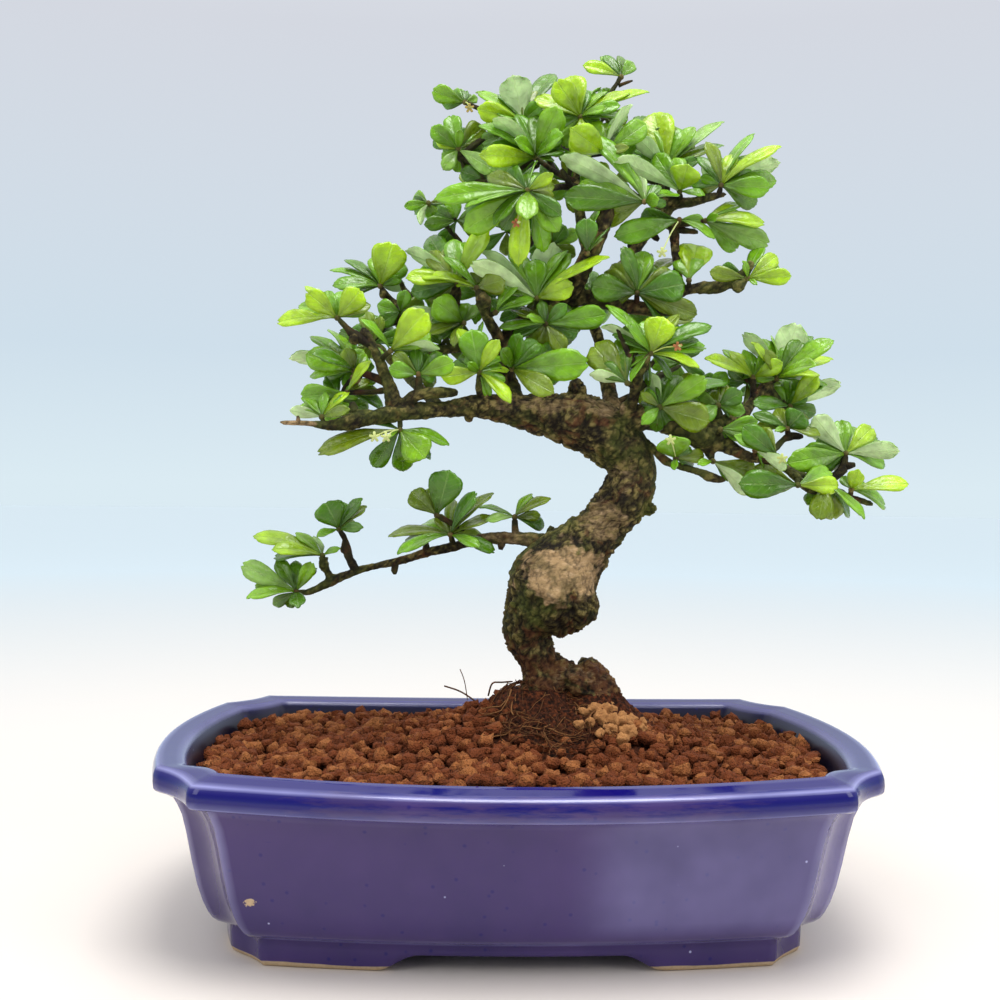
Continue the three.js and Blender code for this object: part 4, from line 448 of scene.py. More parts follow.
        (-39.6, 340.6, 7.5, -4), (-31.2, 346.2, 8, 4), (-37.4, 334.2, 4, -7), (-17, 341, 11, 6),
        (-27, 339.4, 4, -7), (-33.9, 322.2, 6, -6), (-10.4, 321.4, 8, -7))),),
    (((-25, 351.4, 32), (-22.8, 350.1, 32), "mpm", (
        (-39.3, 356.3, 8, -4), (-27.5, 356.8, -3, 6), (-19.4, 353.6, 4, 5))),),
    (((-40.4, 307.4, 17), (-38.8, 304.4, 19.6), "mmpd", (
        (-50.7, 305.8, 4.5, -4), (-46, 310.8, 5.5, 5), (-44.4, 298.2, -3.5, -8), (-30.6, 303.6, 5, 6))),),
)

# Tufts on the far side of the crown: the bud, the twig behind it, and the number of leaves
BACK_TUFTS = (
    ((31, 264, 44), (31, 260, 41), 5),
    ((12, 289, 42), (12, 286, 38), 5),
    ((6, 309, 43), (6, 305, 40), 5),
    ((62, 254, 49), (61, 251, 46), 5),
    ((-15, 309, 53), (-13, 306, 50), 5),
    ((-64, 248, 46), (-62, 245, 43), 5),
    ((109, 232, 43), (107, 229, 40), 5),
    ((56, 329, 51), (57, 326, 48), 5),
    ((17, 336, 43), (18, 334, 40), 5),
)

# Sizes and colours that a user would change

def linear(hex_colour):
    """The linear colour of an sRGB hex value."""
    channels = [int(hex_colour[at:at + 2], 16) / 255 for at in (1, 3, 5)]
    return tuple(c / 12.92 if c <= 0.04045 else ((c + 0.055) / 1.055) ** 2.4 for c in channels) + (1.0,)


def colour_setting(name, description, hex_colour):
    return bpy.props.FloatVectorProperty(
        name=name, description=description, subtype="COLOR", size=4, min=0, max=1,
        default=linear(hex_colour))


def length_setting(name, description, default):
    return bpy.props.FloatProperty(
        name=name, description=description, unit="LENGTH", subtype="DISTANCE", default=default, min=0)


class BonsaiPotSettings(bpy.types.PropertyGroup):
    body_glaze: colour_setting("Body glaze", "Glaze on the pot's sides", "#43316b")
    rim_glaze: colour_setting("Thick glaze", "Glaze on the rim's top and the inside", "#0d0764")
    deep_glaze: colour_setting("Deep glaze", "Darker clouds and spots in the glaze", "#34265f")
    # The edge colour also paints the reflection on the right of the front
    edge_glaze_and_sheen: colour_setting("Edge glaze", "Where the glaze runs thin over an edge", "#a5a6dc")
    bare_clay: colour_setting("Bare clay", "Unglazed clay under the feet", "#cdb594")


class BonsaiSoilSettings(bpy.types.PropertyGroup):
    granule: length_setting("Granule", "Mean width of a soil granule", 0.0053)
    light_clay: colour_setting("Light granule", "The driest granules", "#9e6337")
    clay: colour_setting("Granule", "Most of the granules", "#713a1d")
    dark_clay: colour_setting("Dark granule", "Moist granules and the gaps", "#321508")
    earth: colour_setting("Root earth", "Fine earth held by the roots", "#3c1e10")
    root: colour_setting("Root", "Thin surface roots", "#7d5236")


class BonsaiWoodSettings(bpy.types.PropertyGroup):
    relief: length_setting("Bark relief", "Depth of the bark's ridges on the trunk", 0.0011)
    bark: colour_setting("Bark", "Main colour of the bark", "#4a4222")
    dark_bark: colour_setting("Dark bark", "Cracks and hollows of the bark", "#21190d")
    light_bark: colour_setting("Light bark", "Dry ridges and patches", "#807242")
    young_bark: colour_setting("Young bark", "Rusty patches of young bark", "#6b3f26")
    moss: colour_setting("Moss", "Green film on the bark", "#505a20")
    scar: colour_setting("Scar", "Smooth wood of the old cut", "#a88a62")


class BonsaiLeafSettings(bpy.types.PropertyGroup):
    thickness: length_setting("Thickness", "Thickness of a leaf", 0.0004)
    young: colour_setting("Young leaf", "Leaves that opened last", "#a6cc16")
    grown: colour_setting("Grown leaf", "Most of the leaves", "#72a814")
    old: colour_setting("Old leaf", "Darkest leaves", "#4c7d0a")
    shaded: colour_setting("Shaded leaf", "Olive leaves inside the crown", "#768c10")
    pale: colour_setting("Pale leaf", "Leaves with a grey-green bloom", "#8cb84a")
    underside: colour_setting("Underside", "Underside of the leaves", "#a9c870")


class BonsaiStageSettings(bpy.types.PropertyGroup):
    floor: colour_setting("Floor", "Table that the pot stands on", "#e2dad2")
    far_floor: colour_setting("Far floor", "The table's far end", "#ddeff8")
    horizon: colour_setting("Low backdrop", "Backdrop where it meets the table", "#dbebf3")
    sky: colour_setting("Backdrop", "Middle of the backdrop", "#cfdfeb")
    high_sky: colour_setting("High backdrop", "Top of the backdrop", "#d4d8e1")


# Materials

# Settings that many nodes share
COLOURS = {"data_type": "RGBA"}
DARKENED = {"data_type": "RGBA", "blend_type": "MULTIPLY"}
SCALED_SUM = {"operation": "MULTIPLY_ADD"}
CLAMPED_SUM = {"operation": "MULTIPLY_ADD", "use_clamp": True}


def fill_inputs(node, inputs):
    """Fills a node's inputs with values, with sockets or with the first output in use of other nodes."""
    for name, value in inputs.items():
        if isinstance(value, bpy.types.Node):
            value = next(output for output in value.outputs if output.enabled)
        if isinstance(value, bpy.types.NodeSocket):
            node.id_data.links.new(value, node.inputs[name])
        else:
            node.inputs[name].default_value = value


def add_node(tree, kind, inputs=None, settings=None):
    """Adds a node, sets its properties and fills its inputs."""
    node = tree.nodes.new(kind)
    for name, value in (settings or {}).items():
        if name == "stops":
            while len(node.color_ramp.elements) < len(value):
                node.color_ramp.elements.new(1.0)
            for element, (position, colour) in zip(node.color_ramp.elements, value):
                element.position, element.color = position, colour
        else:
            setattr(node, name, value)
    fill_inputs(node, inputs or {})
    return node


def new_material(name):
    """A material, what adds a node to it, its shader and its Object coordinates."""
    material = bpy.data.materials.new(name)
    material.use_nodes = True
    material.node_tree.nodes.clear()
    add = functools.partial(add_node, material.node_tree)
    shader = add("ShaderNodeBsdfPrincipled")
    add("ShaderNodeOutputMaterial", {"Surface": shader})
    return material, add, shader, add("ShaderNodeTexCoord").outputs["Object"]


def grey(value):
    return (value, value, value, 1.0)


def glazed_stoneware(settings):
    # Cobalt glaze, dipped and fired: glossy, cloudy where it pooled, pale where it ran off the edges, with
    # a painted reflection on the front and painted shade inside
    material, add, shader, where = new_material("cobalt_glazed_stoneware")
    parts = add("ShaderNodeSeparateXYZ", {"Vector": where})
    # Clouds 40 mm across, spots of up to 1.4 mm every 7 mm, and grains finer than 1 mm
    clouds = add("ShaderNodeTexNoise", {"Vector": where, "Scale": 25.0, "Detail": 3.0})
    spots = add("ShaderNodeTexVoronoi", {"Vector": where, "Scale": 150.0})
    grains = add("ShaderNodeTexNoise", {"Vector": where, "Scale": 900.0, "Detail": 2.0})
    dipped_and_shaded = add("ShaderNodeAttribute", settings={"attribute_name": "thick_glaze"})
    cloudy = add("ShaderNodeValToRGB", {"Fac": clouds}, {"stops": ((0.35, grey(0.0)), (0.7, grey(1.0)))})
    body = add("ShaderNodeMix", {0: cloudy, 6: settings.deep_glaze, 7: settings.body_glaze}, COLOURS)
    # Streaks 2 mm high run round the lip, where the glaze crept
    level = add("ShaderNodeMapping", {"Vector": where, "Scale": (60.0, 60.0, 480.0)})
    streaks = add("ShaderNodeTexNoise", {"Vector": level, "Scale": 1.0, "Detail": 4.0, "Roughness": 0.7})
    crept = add("ShaderNodeMath", {0: streaks, 1: 1.6, 2: dipped_and_shaded.outputs["Fac"]}, SCALED_SUM)
    uneven = add("ShaderNodeMath", {0: crept, 1: 3.0, 2: -3.45}, CLAMPED_SUM)
    glaze = add("ShaderNodeMix", {0: uneven, 6: body, 7: settings.rim_glaze}, COLOURS)
    # Inside the pot the glaze is painted almost black, as painted shade on the inner wall
    inner = add("ShaderNodeMapRange", {"Value": dipped_and_shaded.outputs["Fac"], "From Min": 1.0, "From Max": 2.0})
    glaze = add("ShaderNodeMix", {0: inner, 6: glaze, 7: linear("#07041c")}, COLOURS)
    spot = add("ShaderNodeMapRange", {
        "Value": spots, "From Min": 0.06, "From Max": 0.15, "To Min": 0.6, "To Max": 0.0})
    spotted = add("ShaderNodeMix", {0: spot, 6: glaze, 7: settings.rim_glaze}, COLOURS)
    # Pale pinholes 0.6 mm across every 17 mm
    pinholes = add("ShaderNodeTexVoronoi", {"Vector": where, "Scale": 60.0})
    pinhole = add("ShaderNodeMapRange", {
        "Value": pinholes, "From Min": 0.02, "From Max": 0.035, "To Min": 0.8, "To Max": 0.0})
    pricked = add("ShaderNodeMix", {0: pinhole, 6: spotted, 7: linear("#b9bce6")}, COLOURS)
    # Thin glaze over the edges and the painted reflection on the right of the front both take the edge
    # colour
    thin = add("ShaderNodeAttribute", settings={"attribute_name": "thin_glaze"})
    broken = add("ShaderNodeMath", {0: clouds, 1: 1.0, 2: 0.1}, CLAMPED_SUM)
    edge = add("ShaderNodeMath", {0: thin.outputs["Fac"], 1: broken}, {
        "operation": "MULTIPLY", "use_clamp": True})
    edged_and_sheened = add("ShaderNodeMix", {0: edge, 6: pricked, 7: settings.edge_glaze_and_sheen}, COLOURS)
    ragged = add("ShaderNodeMath", {0: clouds, 1: -0.003, 2: parts.outputs["Z"]}, SCALED_SUM)
    bare = add("ShaderNodeMapRange", {
        "Value": ragged, "From Min": 0.0004, "From Max": 0.0008, "To Min": 1.0, "To Max": 0.0})
    clay = add("ShaderNodeMix", {0: grains, 6: settings.bare_clay, 7: linear("#a98e6c")}, COLOURS)
    # A flake of glaze, 3 mm across, is chipped off the front
    flat = add("ShaderNodeVectorMath", {0: where, 1: (1.0, 0.03, 1.4)}, {"operation": "MULTIPLY"})
    chip_middle = Vector((-101.5, -84.0, 28.5)) * MM + POT_MIDDLE
    away = add("ShaderNodeVectorMath", {
        0: flat, 1: (chip_middle.x, chip_middle.y * 0.03, chip_middle.z * 1.4)},
        {"operation": "DISTANCE"})
    ragged_away = add("ShaderNodeMath", {0: grains, 1: 0.004, 2: away}, SCALED_SUM)
    chip = add("ShaderNodeMapRange", {
        "Value": ragged_away, "From Min": 0.0038, "From Max": 0.0043, "To Min": 1.0, "To Max": 0.0})
    unglazed = add("ShaderNodeMath", {0: bare, 1: chip}, {"operation": "MAXIMUM"})
    colour = add("ShaderNodeMix", {0: unglazed, 6: edged_and_sheened, 7: clay}, COLOURS)
    dull = add("ShaderNodeMath", {0: inner, 1: 0.35, 2: unglazed}, SCALED_SUM)
    gloss = add("ShaderNodeMapRange", {"Value": dull, "To Min": 0.09, "To Max": 0.85})
    ripple = add("ShaderNodeBump", {"Height": clouds, "Strength": 0.06, "Distance": 0.002})
    fine = add("ShaderNodeBump", {
        "Height": grains, "Strength": 0.04, "Distance": 0.0002, "Normal": ripple})
    fill_inputs(shader, {
        "Base Color": colour, "Roughness": gloss, "Normal": fine, "IOR": 1.52,
        "Specular IOR Level": 0.42})
    return material


def fired_clay(settings):
    # Granules of reddish clay, crushed and sieved: dull, porous, each of its own dryness, with painted
    # shade on the lower granules and under each granule
    material, add, shader, where = new_material("sieved_clay_granules")
    shade = add("ShaderNodeAttribute", settings={"attribute_name": "shade"})
    # Patches 2 mm across and pores 0.4 mm across, drawn at 0.8 mm so that they show
    patches = add("ShaderNodeTexNoise", {"Vector": where, "Scale": 500.0, "Detail": 3.0})
    pores = add("ShaderNodeTexVoronoi", {"Vector": where, "Scale": 1250.0})
    mixed = add("ShaderNodeMath", {0: patches, 1: 0.4, 2: shade.outputs["Fac"]}, SCALED_SUM)
    colour = add("ShaderNodeValToRGB", {"Fac": mixed}, {"stops": (
        (0.2, settings.dark_clay), (0.5, settings.clay), (0.7, settings.clay),
        (0.95, settings.light_clay))})
    dimmed = add("ShaderNodeMapRange", {"Value": pores, "From Max": 0.5, "To Min": 0.6, "To Max": 1.0})
    pored = add("ShaderNodeMix", {0: 1.0, 6: colour, 7: dimmed}, DARKENED)
    grain = add("ShaderNodeBump", {"Height": pores, "Strength": 0.9, "Distance": 0.0007})
    rough = add("ShaderNodeBump", {
        "Height": patches, "Strength": 0.9, "Distance": 0.0015, "Normal": grain})
    fill_inputs(shader, {
        "Base Color": pored, "Normal": rough, "Roughness": 0.92, "Specular IOR Level": 0.2})
    return material


def root_earth(settings):
    # Fine dark earth that the surface roots hold together: matt and crumbly, with paler root bark
    material, add, shader, where = new_material("root_earth")
    shade = add("ShaderNodeAttribute", settings={"attribute_name": "shade"})
    # Crumbs of 1.5 mm and fibres of 0.5 mm
    crumbs = add("ShaderNodeTexNoise", {"Vector": where, "Scale": 650.0, "Detail": 4.0})
    fibres = add("ShaderNodeTexNoise", {"Vector": where, "Scale": 1800.0, "Detail": 2.0})
    earth = add("ShaderNodeValToRGB", {"Fac": crumbs}, {"stops": (
        (0.35, linear("#160b06")), (0.52, settings.earth), (0.8, settings.clay))})
    bark = add("ShaderNodeMix", {0: fibres, 6: settings.root, 7: linear("#c48e56")}, COLOURS)
    colour = add("ShaderNodeMix", {0: shade.outputs["Fac"], 6: earth, 7: bark}, COLOURS)
    bump = add("ShaderNodeBump", {"Height": crumbs, "Strength": 0.9, "Distance": 0.001})
    fill_inputs(shader, {
        "Base Color": colour, "Normal": bump, "Roughness": 0.93, "Specular IOR Level": 0.15})
    return material


def grown_bark(settings):
    # Bark as it grew: rough and matt, cracked, with dry ridges, a film of moss and one healed cut
    material, add, shader, where = new_material("grown_bark")
    # Lumps 9 mm across, ridges of 3 mm, grains of 0.9 mm, and moss in patches of 20 mm
    lumps = add("ShaderNodeTexNoise", {
        "Vector": where, "Scale": 110.0, "Detail": 8.0, "Roughness": 0.72, "Distortion": 0.6})
    ridged = {"noise_type": "RIDGED_MULTIFRACTAL", "normalize": True}
    ridges = add("ShaderNodeTexNoise", {
        "Vector": where, "Scale": 300.0, "Detail": 4.0, "Distortion": 0.8}, ridged)
    grains = add("ShaderNodeTexNoise", {"Vector": where, "Scale": 1100.0, "Detail": 3.0})
    patches = add("ShaderNodeTexNoise", {"Vector": where, "Scale": 50.0, "Detail": 5.0, "Roughness": 0.6})
    # Rusty young bark in patches of 12 mm, and hair cracks 1.5 mm apart in the bare wood
    rust = add("ShaderNodeTexNoise", {
        "Vector": where, "Scale": 85.0, "Detail": 5.0, "Roughness": 0.65, "Distortion": 1.2})
    grain = add("ShaderNodeMapping", {
        "Vector": where, "Rotation": (0.0, 0.7, 0.0), "Scale": (160.0, 300.0, 520.0)})
    hairs = add("ShaderNodeTexNoise", {
        "Vector": grain, "Scale": 1.0, "Detail": 4.0, "Roughness": 0.65, "Distortion": 0.8})
    raised_share = add("ShaderNodeAttribute", settings={"attribute_name": "ridge"})
    level = add("ShaderNodeMath", {0: raised_share.outputs["Fac"], 1: 0.5, 2: lumps}, SCALED_SUM)
    bark = add("ShaderNodeValToRGB", {"Fac": level}, {"stops": (
        (0.62, settings.dark_bark), (0.86, settings.bark), (1.0, settings.light_bark))})
    # The foot is earthy and brown, without moss
    parts = add("ShaderNodeSeparateXYZ", {"Vector": where})
    foot = add("ShaderNodeMapRange", {
        "Value": parts.outputs["Z"], "From Min": 0.134, "From Max": 0.108, "To Max": 0.17})
    stained = add("ShaderNodeMath", {0: rust, 1: foot}, {"operation": "ADD"})
    rusty = add("ShaderNodeValToRGB", {"Fac": stained}, {"stops": ((0.55, grey(0.0)), (0.66, grey(0.6)))})
    young = add("ShaderNodeMix", {0: rusty, 6: bark, 7: settings.young_bark}, COLOURS)
    patchy = add("ShaderNodeMath", {0: patches, 1: foot}, {"operation": "SUBTRACT"})
    mossy = add("ShaderNodeValToRGB", {"Fac": patchy}, {"stops": ((0.46, grey(0.0)), (0.6, grey(0.55)))})
    green = add("ShaderNodeMix", {0: mossy, 6: young, 7: settings.moss}, COLOURS)
    worn = add("ShaderNodeAttribute", settings={"attribute_name": "scar"})
    spread = add("ShaderNodeMath", {0: hairs, 1: 0.9, 2: worn.outputs["Fac"]}, SCALED_SUM)
    pale = add("ShaderNodeMapRange", {
        "Value": spread, "From Min": 0.75, "From Max": 1.25, "To Max": 0.95})
    cut_wood = add("ShaderNodeValToRGB", {"Fac": hairs}, {"stops": (
        (0.3, linear("#8d7452")), (0.5, settings.scar), (0.75, linear("#bfa27e")))})
    # Green and grey stains on the bare wood
    stain = add("ShaderNodeMapRange", {"Value": rust, "From Min": 0.46, "From Max": 0.64, "To Max": 0.6})
    aged = add("ShaderNodeMix", {0: stain, 6: cut_wood, 7: linear("#665b36")}, COLOURS)
    healed = add("ShaderNodeMix", {0: pale, 6: green, 7: aged}, COLOURS)
    hollow = add("ShaderNodeMapRange", {
        "Value": raised_share.outputs["Fac"], "From Min": 0.05, "From Max": 0.6, "To Min": 0.35,
        "To Max": 1.1})
    colour = add("ShaderNodeMix", {0: 1.0, 6: healed, 7: hollow}, DARKENED)
    raised = add("ShaderNodeBump", {"Height": lumps, "Strength": 1.0, "Distance": 0.0022})
    split = add("ShaderNodeBump", {
        "Height": ridges, "Strength": 0.8, "Distance": 0.0008, "Normal": raised})
    fine = add("ShaderNodeBump", {"Height": grains, "Strength": 0.6, "Distance": 0.0004, "Normal": split})
    fill_inputs(shader, {
        "Base Color": colour, "Normal": fine, "Roughness": 0.8, "Specular IOR Level": 0.25})
    return material


def leaf_skin(settings, name, upper):
    # Living leaf with a waxed upper side: glossy above, paler and duller beneath, veins slightly sunk
    material, add, shader, where = new_material(name)
    along = add("ShaderNodeUVMap", settings={"uv_map": "blade"})
    parts = add("ShaderNodeSeparateXYZ", {"Vector": along})
    across = add("ShaderNodeMath", {0: parts.outputs["X"], 1: 0.5}, {"operation": "SUBTRACT"})
    side = add("ShaderNodeMath", {0: across}, {"operation": "ABSOLUTE"})
    midrib = add("ShaderNodeMapRange", {
        "Value": side, "From Min": 0.008, "From Max": 0.035, "To Min": 1.0, "To Max": 0.0})
    # Six pairs of side veins that lean towards the tip
    lean = add("ShaderNodeMath", {0: side, 1: -0.55, 2: parts.outputs["Y"]}, SCALED_SUM)
    wave = add("ShaderNodeMath", {0: lean, 1: 44.0}, {"operation": "MULTIPLY"})
    veins = add("ShaderNodeMath", {0: wave}, {"operation": "SINE"})
    vein = add("ShaderNodeMapRange", {"Value": veins, "From Min": 0.8, "From Max": 1.0})
    tone = add("ShaderNodeAttribute", settings={"attribute_name": "tone"})
    # Mottles 6 mm across, swellings of 3 mm between the veins and grains of 1.5 mm
    mottle = add("ShaderNodeTexNoise", {"Vector": where, "Scale": 160.0, "Detail": 3.0})
    grains = add("ShaderNodeTexNoise", {"Vector": where, "Scale": 700.0, "Detail": 2.0})
    swellings = add("ShaderNodeTexNoise", {"Vector": where, "Scale": 330.0, "Detail": 1.0})
    leaf = add("ShaderNodeValToRGB", {"Fac": tone.outputs["Fac"]}, {"stops": (
        (0.1, settings.young), (0.3, settings.grown), (0.5, settings.old), (0.7, settings.shaded),
        (0.9, settings.pale))})
    if not upper:
        # Leaves that show their underside turn pale, partly the underside's own bloom and partly painted
        # sheen
        bloom = add("ShaderNodeMapRange", {
            "Value": tone.outputs["Fac"], "From Min": 0.94, "From Max": 1.0, "To Max": 0.85})
        dulled = add("ShaderNodeMix", {0: 0.5, 6: leaf, 7: settings.underside}, COLOURS)
        leaf = add("ShaderNodeMix", {0: bloom, 6: dulled, 7: linear("#d2eaae")}, COLOURS)
    darker = add("ShaderNodeMapRange", {
        "Value": mottle, "From Min": 0.3, "From Max": 0.7, "To Min": 0.62, "To Max": 1.1})
    mottled = add("ShaderNodeMix", {0: 1.0, 6: leaf, 7: darker}, DARKENED)
    # The blade is painted darker towards its stalk, as painted shade deep in the tuft
    inner = add("ShaderNodeMapRange", {
        "Value": parts.outputs["Y"], "From Min": 0.1, "From Max": 0.75, "To Min": 0.52 if upper else 0.8,
        "To Max": 1.08})
    shaded_to_stalk = add("ShaderNodeMix", {0: 1.0, 6: mottled, 7: inner}, DARKENED)
    lines = add("ShaderNodeMath", {0: vein, 1: 0.25, 2: midrib}, CLAMPED_SUM)
    ribbed = add("ShaderNodeMath", {0: lines, 1: 0.2}, {"operation": "MULTIPLY"})
    colour = add("ShaderNodeMix", {0: ribbed, 6: shaded_to_stalk, 7: linear("#b2d070")}, COLOURS)
    sunk = add("ShaderNodeBump", {"Height": lines, "Strength": 0.5, "Distance": 0.0005}, {
        "invert": upper})
    swollen = add("ShaderNodeBump", {
        "Height": swellings, "Strength": 0.5, "Distance": 0.0012, "Normal": sunk})
    fine = add("ShaderNodeBump", {
        "Height": grains, "Strength": 0.08, "Distance": 0.0003, "Normal": swollen})
    gloss = add("ShaderNodeMapRange", {
        "Value": mottle, "To Min": 0.16 if upper else 0.42, "To Max": 0.34 if upper else 0.6})
    fill_inputs(shader, {
        "Base Color": colour, "Normal": fine, "Roughness": gloss, "IOR": 1.45,
        "Coat Weight": 0.2 if upper else 0.0, "Coat Roughness": 0.22, "Subsurface Weight": 0.12,
        "Subsurface Radius": (0.0006, 0.0012, 0.0003), "Subsurface Scale": 1.0})
    return material


def petals():
    # Thin living petals, greenish cream when fresh and rusty brown when dry
    material, add, shader, where = new_material("flower_petals")
    # Stains 1.5 mm across
    stains = add("ShaderNodeTexNoise", {"Vector": where, "Scale": 650.0, "Detail": 3.0})
    dryness = add("ShaderNodeAttribute", settings={"attribute_name": "dryness"})
    stained = add("ShaderNodeMath", {0: stains, 1: 0.4, 2: dryness.outputs["Fac"]}, SCALED_SUM)
    colour = add("ShaderNodeValToRGB", {"Fac": stained}, {"stops": (
        (0.15, linear("#cfd88a")), (0.4, linear("#a9b85a")), (0.75, linear("#bf8048")),
        (1.0, linear("#a05c30")))})
    fill_inputs(shader, {
        "Base Color": colour, "Roughness": 0.55, "Subsurface Weight": 0.2,
        "Subsurface Radius": (0.0008, 0.0007, 0.0003), "Subsurface Scale": 1.0})
    return material


def moulded_mesh():
    # Black polypropylene mesh, injection moulded: satin, faintly grained
    material, add, shader, where = new_material("moulded_polypropylene")
    grains = add("ShaderNodeTexNoise", {"Vector": where, "Scale": 1400.0, "Detail": 2.0})
    colour = add("ShaderNodeMix", {0: grains, 6: linear("#151716"), 7: linear("#2b2e2c")}, COLOURS)
    bump = add("ShaderNodeBump", {"Height": grains, "Strength": 0.3, "Distance": 0.0002})
    fill_inputs(shader, {"Base Color": colour, "Normal": bump, "Roughness": 0.55})
    return material


def painted_table(settings):
    # Smooth matt painted table, white near the pot and taking the backdrop's colour far off
    material, add, shader, where = new_material("painted_table")
    reach = add("ShaderNodeVectorMath", {0: where}, {"operation": "LENGTH"})
    far = add("ShaderNodeMapRange", {"Value": reach, "From Min": 0.3, "From Max": 2.2})
    grain = add("ShaderNodeTexNoise", {"Vector": where, "Scale": 30.0, "Detail": 2.0})
    colour = add("ShaderNodeMix", {0: far, 6: settings.floor, 7: settings.far_floor}, COLOURS)
    gloss = add("ShaderNodeMapRange", {"Value": grain, "To Min": 0.5, "To Max": 0.6})
    fill_inputs(shader, {"Base Color": colour, "Roughness": gloss})
    return material


def studio_sky(settings):
    """A pale backdrop all round, bluest just above the table."""
    world = bpy.data.worlds.new("studio")
    world.use_nodes = True
    world.node_tree.nodes.clear()
    add = functools.partial(add_node, world.node_tree)
    direction = add("ShaderNodeTexCoord").outputs["Generated"]
    parts = add("ShaderNodeSeparateXYZ", {"Vector": direction})
    ramp = add("ShaderNodeValToRGB", {"Fac": parts.outputs["Z"]}, {"stops": (
        (0.0, settings.horizon), (0.1, settings.sky), (0.33, settings.high_sky),
        (0.7, linear("#ffffff")))})
    front = add("ShaderNodeMapRange", {
        "Value": parts.outputs["Y"], "From Min": -0.7, "From Max": 0.1, "To Min": 0.5, "To Max": 1.0})
    low = add("ShaderNodeMapRange", {
        "Value": parts.outputs["Z"], "From Min": 0.1, "From Max": 0.4, "To Min": 0.7, "To Max": 0.0})
    side = add("ShaderNodeMath", {0: front, 1: low}, {"operation": "MAXIMUM"})
    above = add("ShaderNodeMapRange", {
        "Value": parts.outputs["Z"], "From Min": 0.4, "From Max": 0.85, "To Min": 1.0, "To Max": 1.35})
    shed = add("ShaderNodeMath", {0: side, 1: above}, {"operation": "MULTIPLY"})
    # The backdrop looks the same all round, and its front half sheds less light
    seen = add("ShaderNodeLightPath").outputs["Is Camera Ray"]
    strength = add("ShaderNodeMix", {0: seen, 2: shed, 3: 1.0})
    light = add("ShaderNodeBackground", {"Color": ramp, "Strength": strength})
    add("ShaderNodeOutputWorld", {"Surface": light})
    return world


# Shapes

def new_object(name, bm):
    """An object in the scene with a mesh of its own, which is freed."""
    mesh = bpy.data.meshes.new(name)
    bm.to_mesh(mesh)
    bm.free()
    made = bpy.data.objects.new(name, mesh)
    bpy.context.scene.collection.objects.link(made)
    return made


def take_in(bm, other):
    """Adds a second mesh to a mesh and frees it."""
    mesh = bpy.data.meshes.new("added")
    other.to_mesh(mesh)
    other.free()
    bm.from_mesh(mesh)
    bpy.data.meshes.remove(mesh)


def to_frame(bm):
    """Brings a mesh from millimetres on the pot's middle to the frame's metres."""
    bmesh.ops.transform(bm, matrix=Matrix.Translation(POT_MIDDLE) @ Matrix.Scale(MM, 4), verts=bm.verts)


def finish_piece(name, bm, materials, replaced=(), modifiers=()):
    """Makes a mesh a piece of the model."""
    to_frame(bm)
    piece = new_object(name, bm)
    for material in materials:
        piece.data.materials.append(material)
    for kind, values in modifiers:
        modifier = piece.modifiers.new(kind.title(), kind)
        for key, value in values.items():
            setattr(modifier, key, value)
    if replaced:
        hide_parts(*replaced)
    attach(piece, "root")
    return piece


def smooth_faces(bm):
    for face in bm.faces:
        face.smooth = True


def mix(a, b, share):
    return a + (b - a) * share


def smoothstep(value):
    value = min(1.0, max(0.0, value))
    return value * value * (3 - 2 * value)


def place(point):
    """The place behind or before the upright plane that the eye sees at (x, z) of it."""
    x, z, y = point[:3]
    return EYE + (Vector((x, 0.0, z)) - EYE) * (1 - y / EYE.y)


def sheet(bm, across, along):
    """A square sheet of faces, and its new vertices with their (column, row)."""
    made = bmesh.ops.create_grid(bm, x_segments=across, y_segments=along, size=0.5)["verts"]
    return [(v, round((v.co.x + 0.5) * across), round((v.co.y + 0.5) * along)) for v in made]


def close_sheet(bm, verts, dist=WELD, sides=0):
    """Welds the seam of a sheet that was bent round, and fills the holes left in it."""
    bmesh.ops.remove_doubles(bm, verts=verts, dist=dist)
    edges = {e for v in verts if v.is_valid for e in v.link_edges}
    return bmesh.ops.holes_fill(bm, edges=[e for e in edges if e.is_boundary], sides=sides)["faces"]


def rounded_path(path, spacing):
    """Points (centre, radius) every few millimetres along a smooth curve through a limb's points."""
    knots = [(place(p), p[3] * (1 - p[2] / EYE.y)) for p in path]
    dense = []
    for index in range(len(knots) - 1):
        (a, _), (b, r1), (c, r2), (d, _) = (
            knots[max(0, index - 1)], knots[index], knots[index + 1], knots[min(len(knots) - 1, index + 2)])
        steps = max(1, round((c - b).length / spacing))
        for step in range(steps):
            t = step / steps
            centre = 0.5 * ((2 * b) + (c - a) * t + (2 * a - 5 * b + 4 * c - d) * t * t
                            + (3 * b - a - 3 * c + d) * t ** 3)
            dense.append((centre, mix(r1, r2, t)))
    dense.append(knots[-1])
    return dense


def tube(bm, dense, sides, end=0.6):
    """A closed tube along (centre, radius) points, rounded off at its far end."""
    centres = [c for c, _ in dense]
    last = len(dense) - 1
    tangents = [(centres[min(last, i + 1)] - centres[max(0, i - 1)]).normalized() for i in range(last + 1)]
    across = Vector((0.31, 0.93, 0.2))
    frames = []
    for tangent in tangents:
        across = (across - tangent * across.dot(tangent)).normalized()
        frames.append((across.copy(), tangent.cross(across)))
    made = sheet(bm, sides, last)
    for vert, column, row in made:
        angle = 2 * math.pi * column / sides
        a, b = frames[row]
        reach = dense[row][1] * (end if row == last else 1.0)
        vert.co = centres[row] + (a * math.cos(angle) + b * math.sin(angle)) * reach
    verts = [v for v, _, _ in made]
    caps = close_sheet(bm, verts, sides=sides)
    verts = [v for v in verts if v.is_valid]
    faces = {f for v in verts for f in v.link_faces} | set(caps)
    bmesh.ops.recalc_face_normals(bm, faces=list(faces))
    return verts


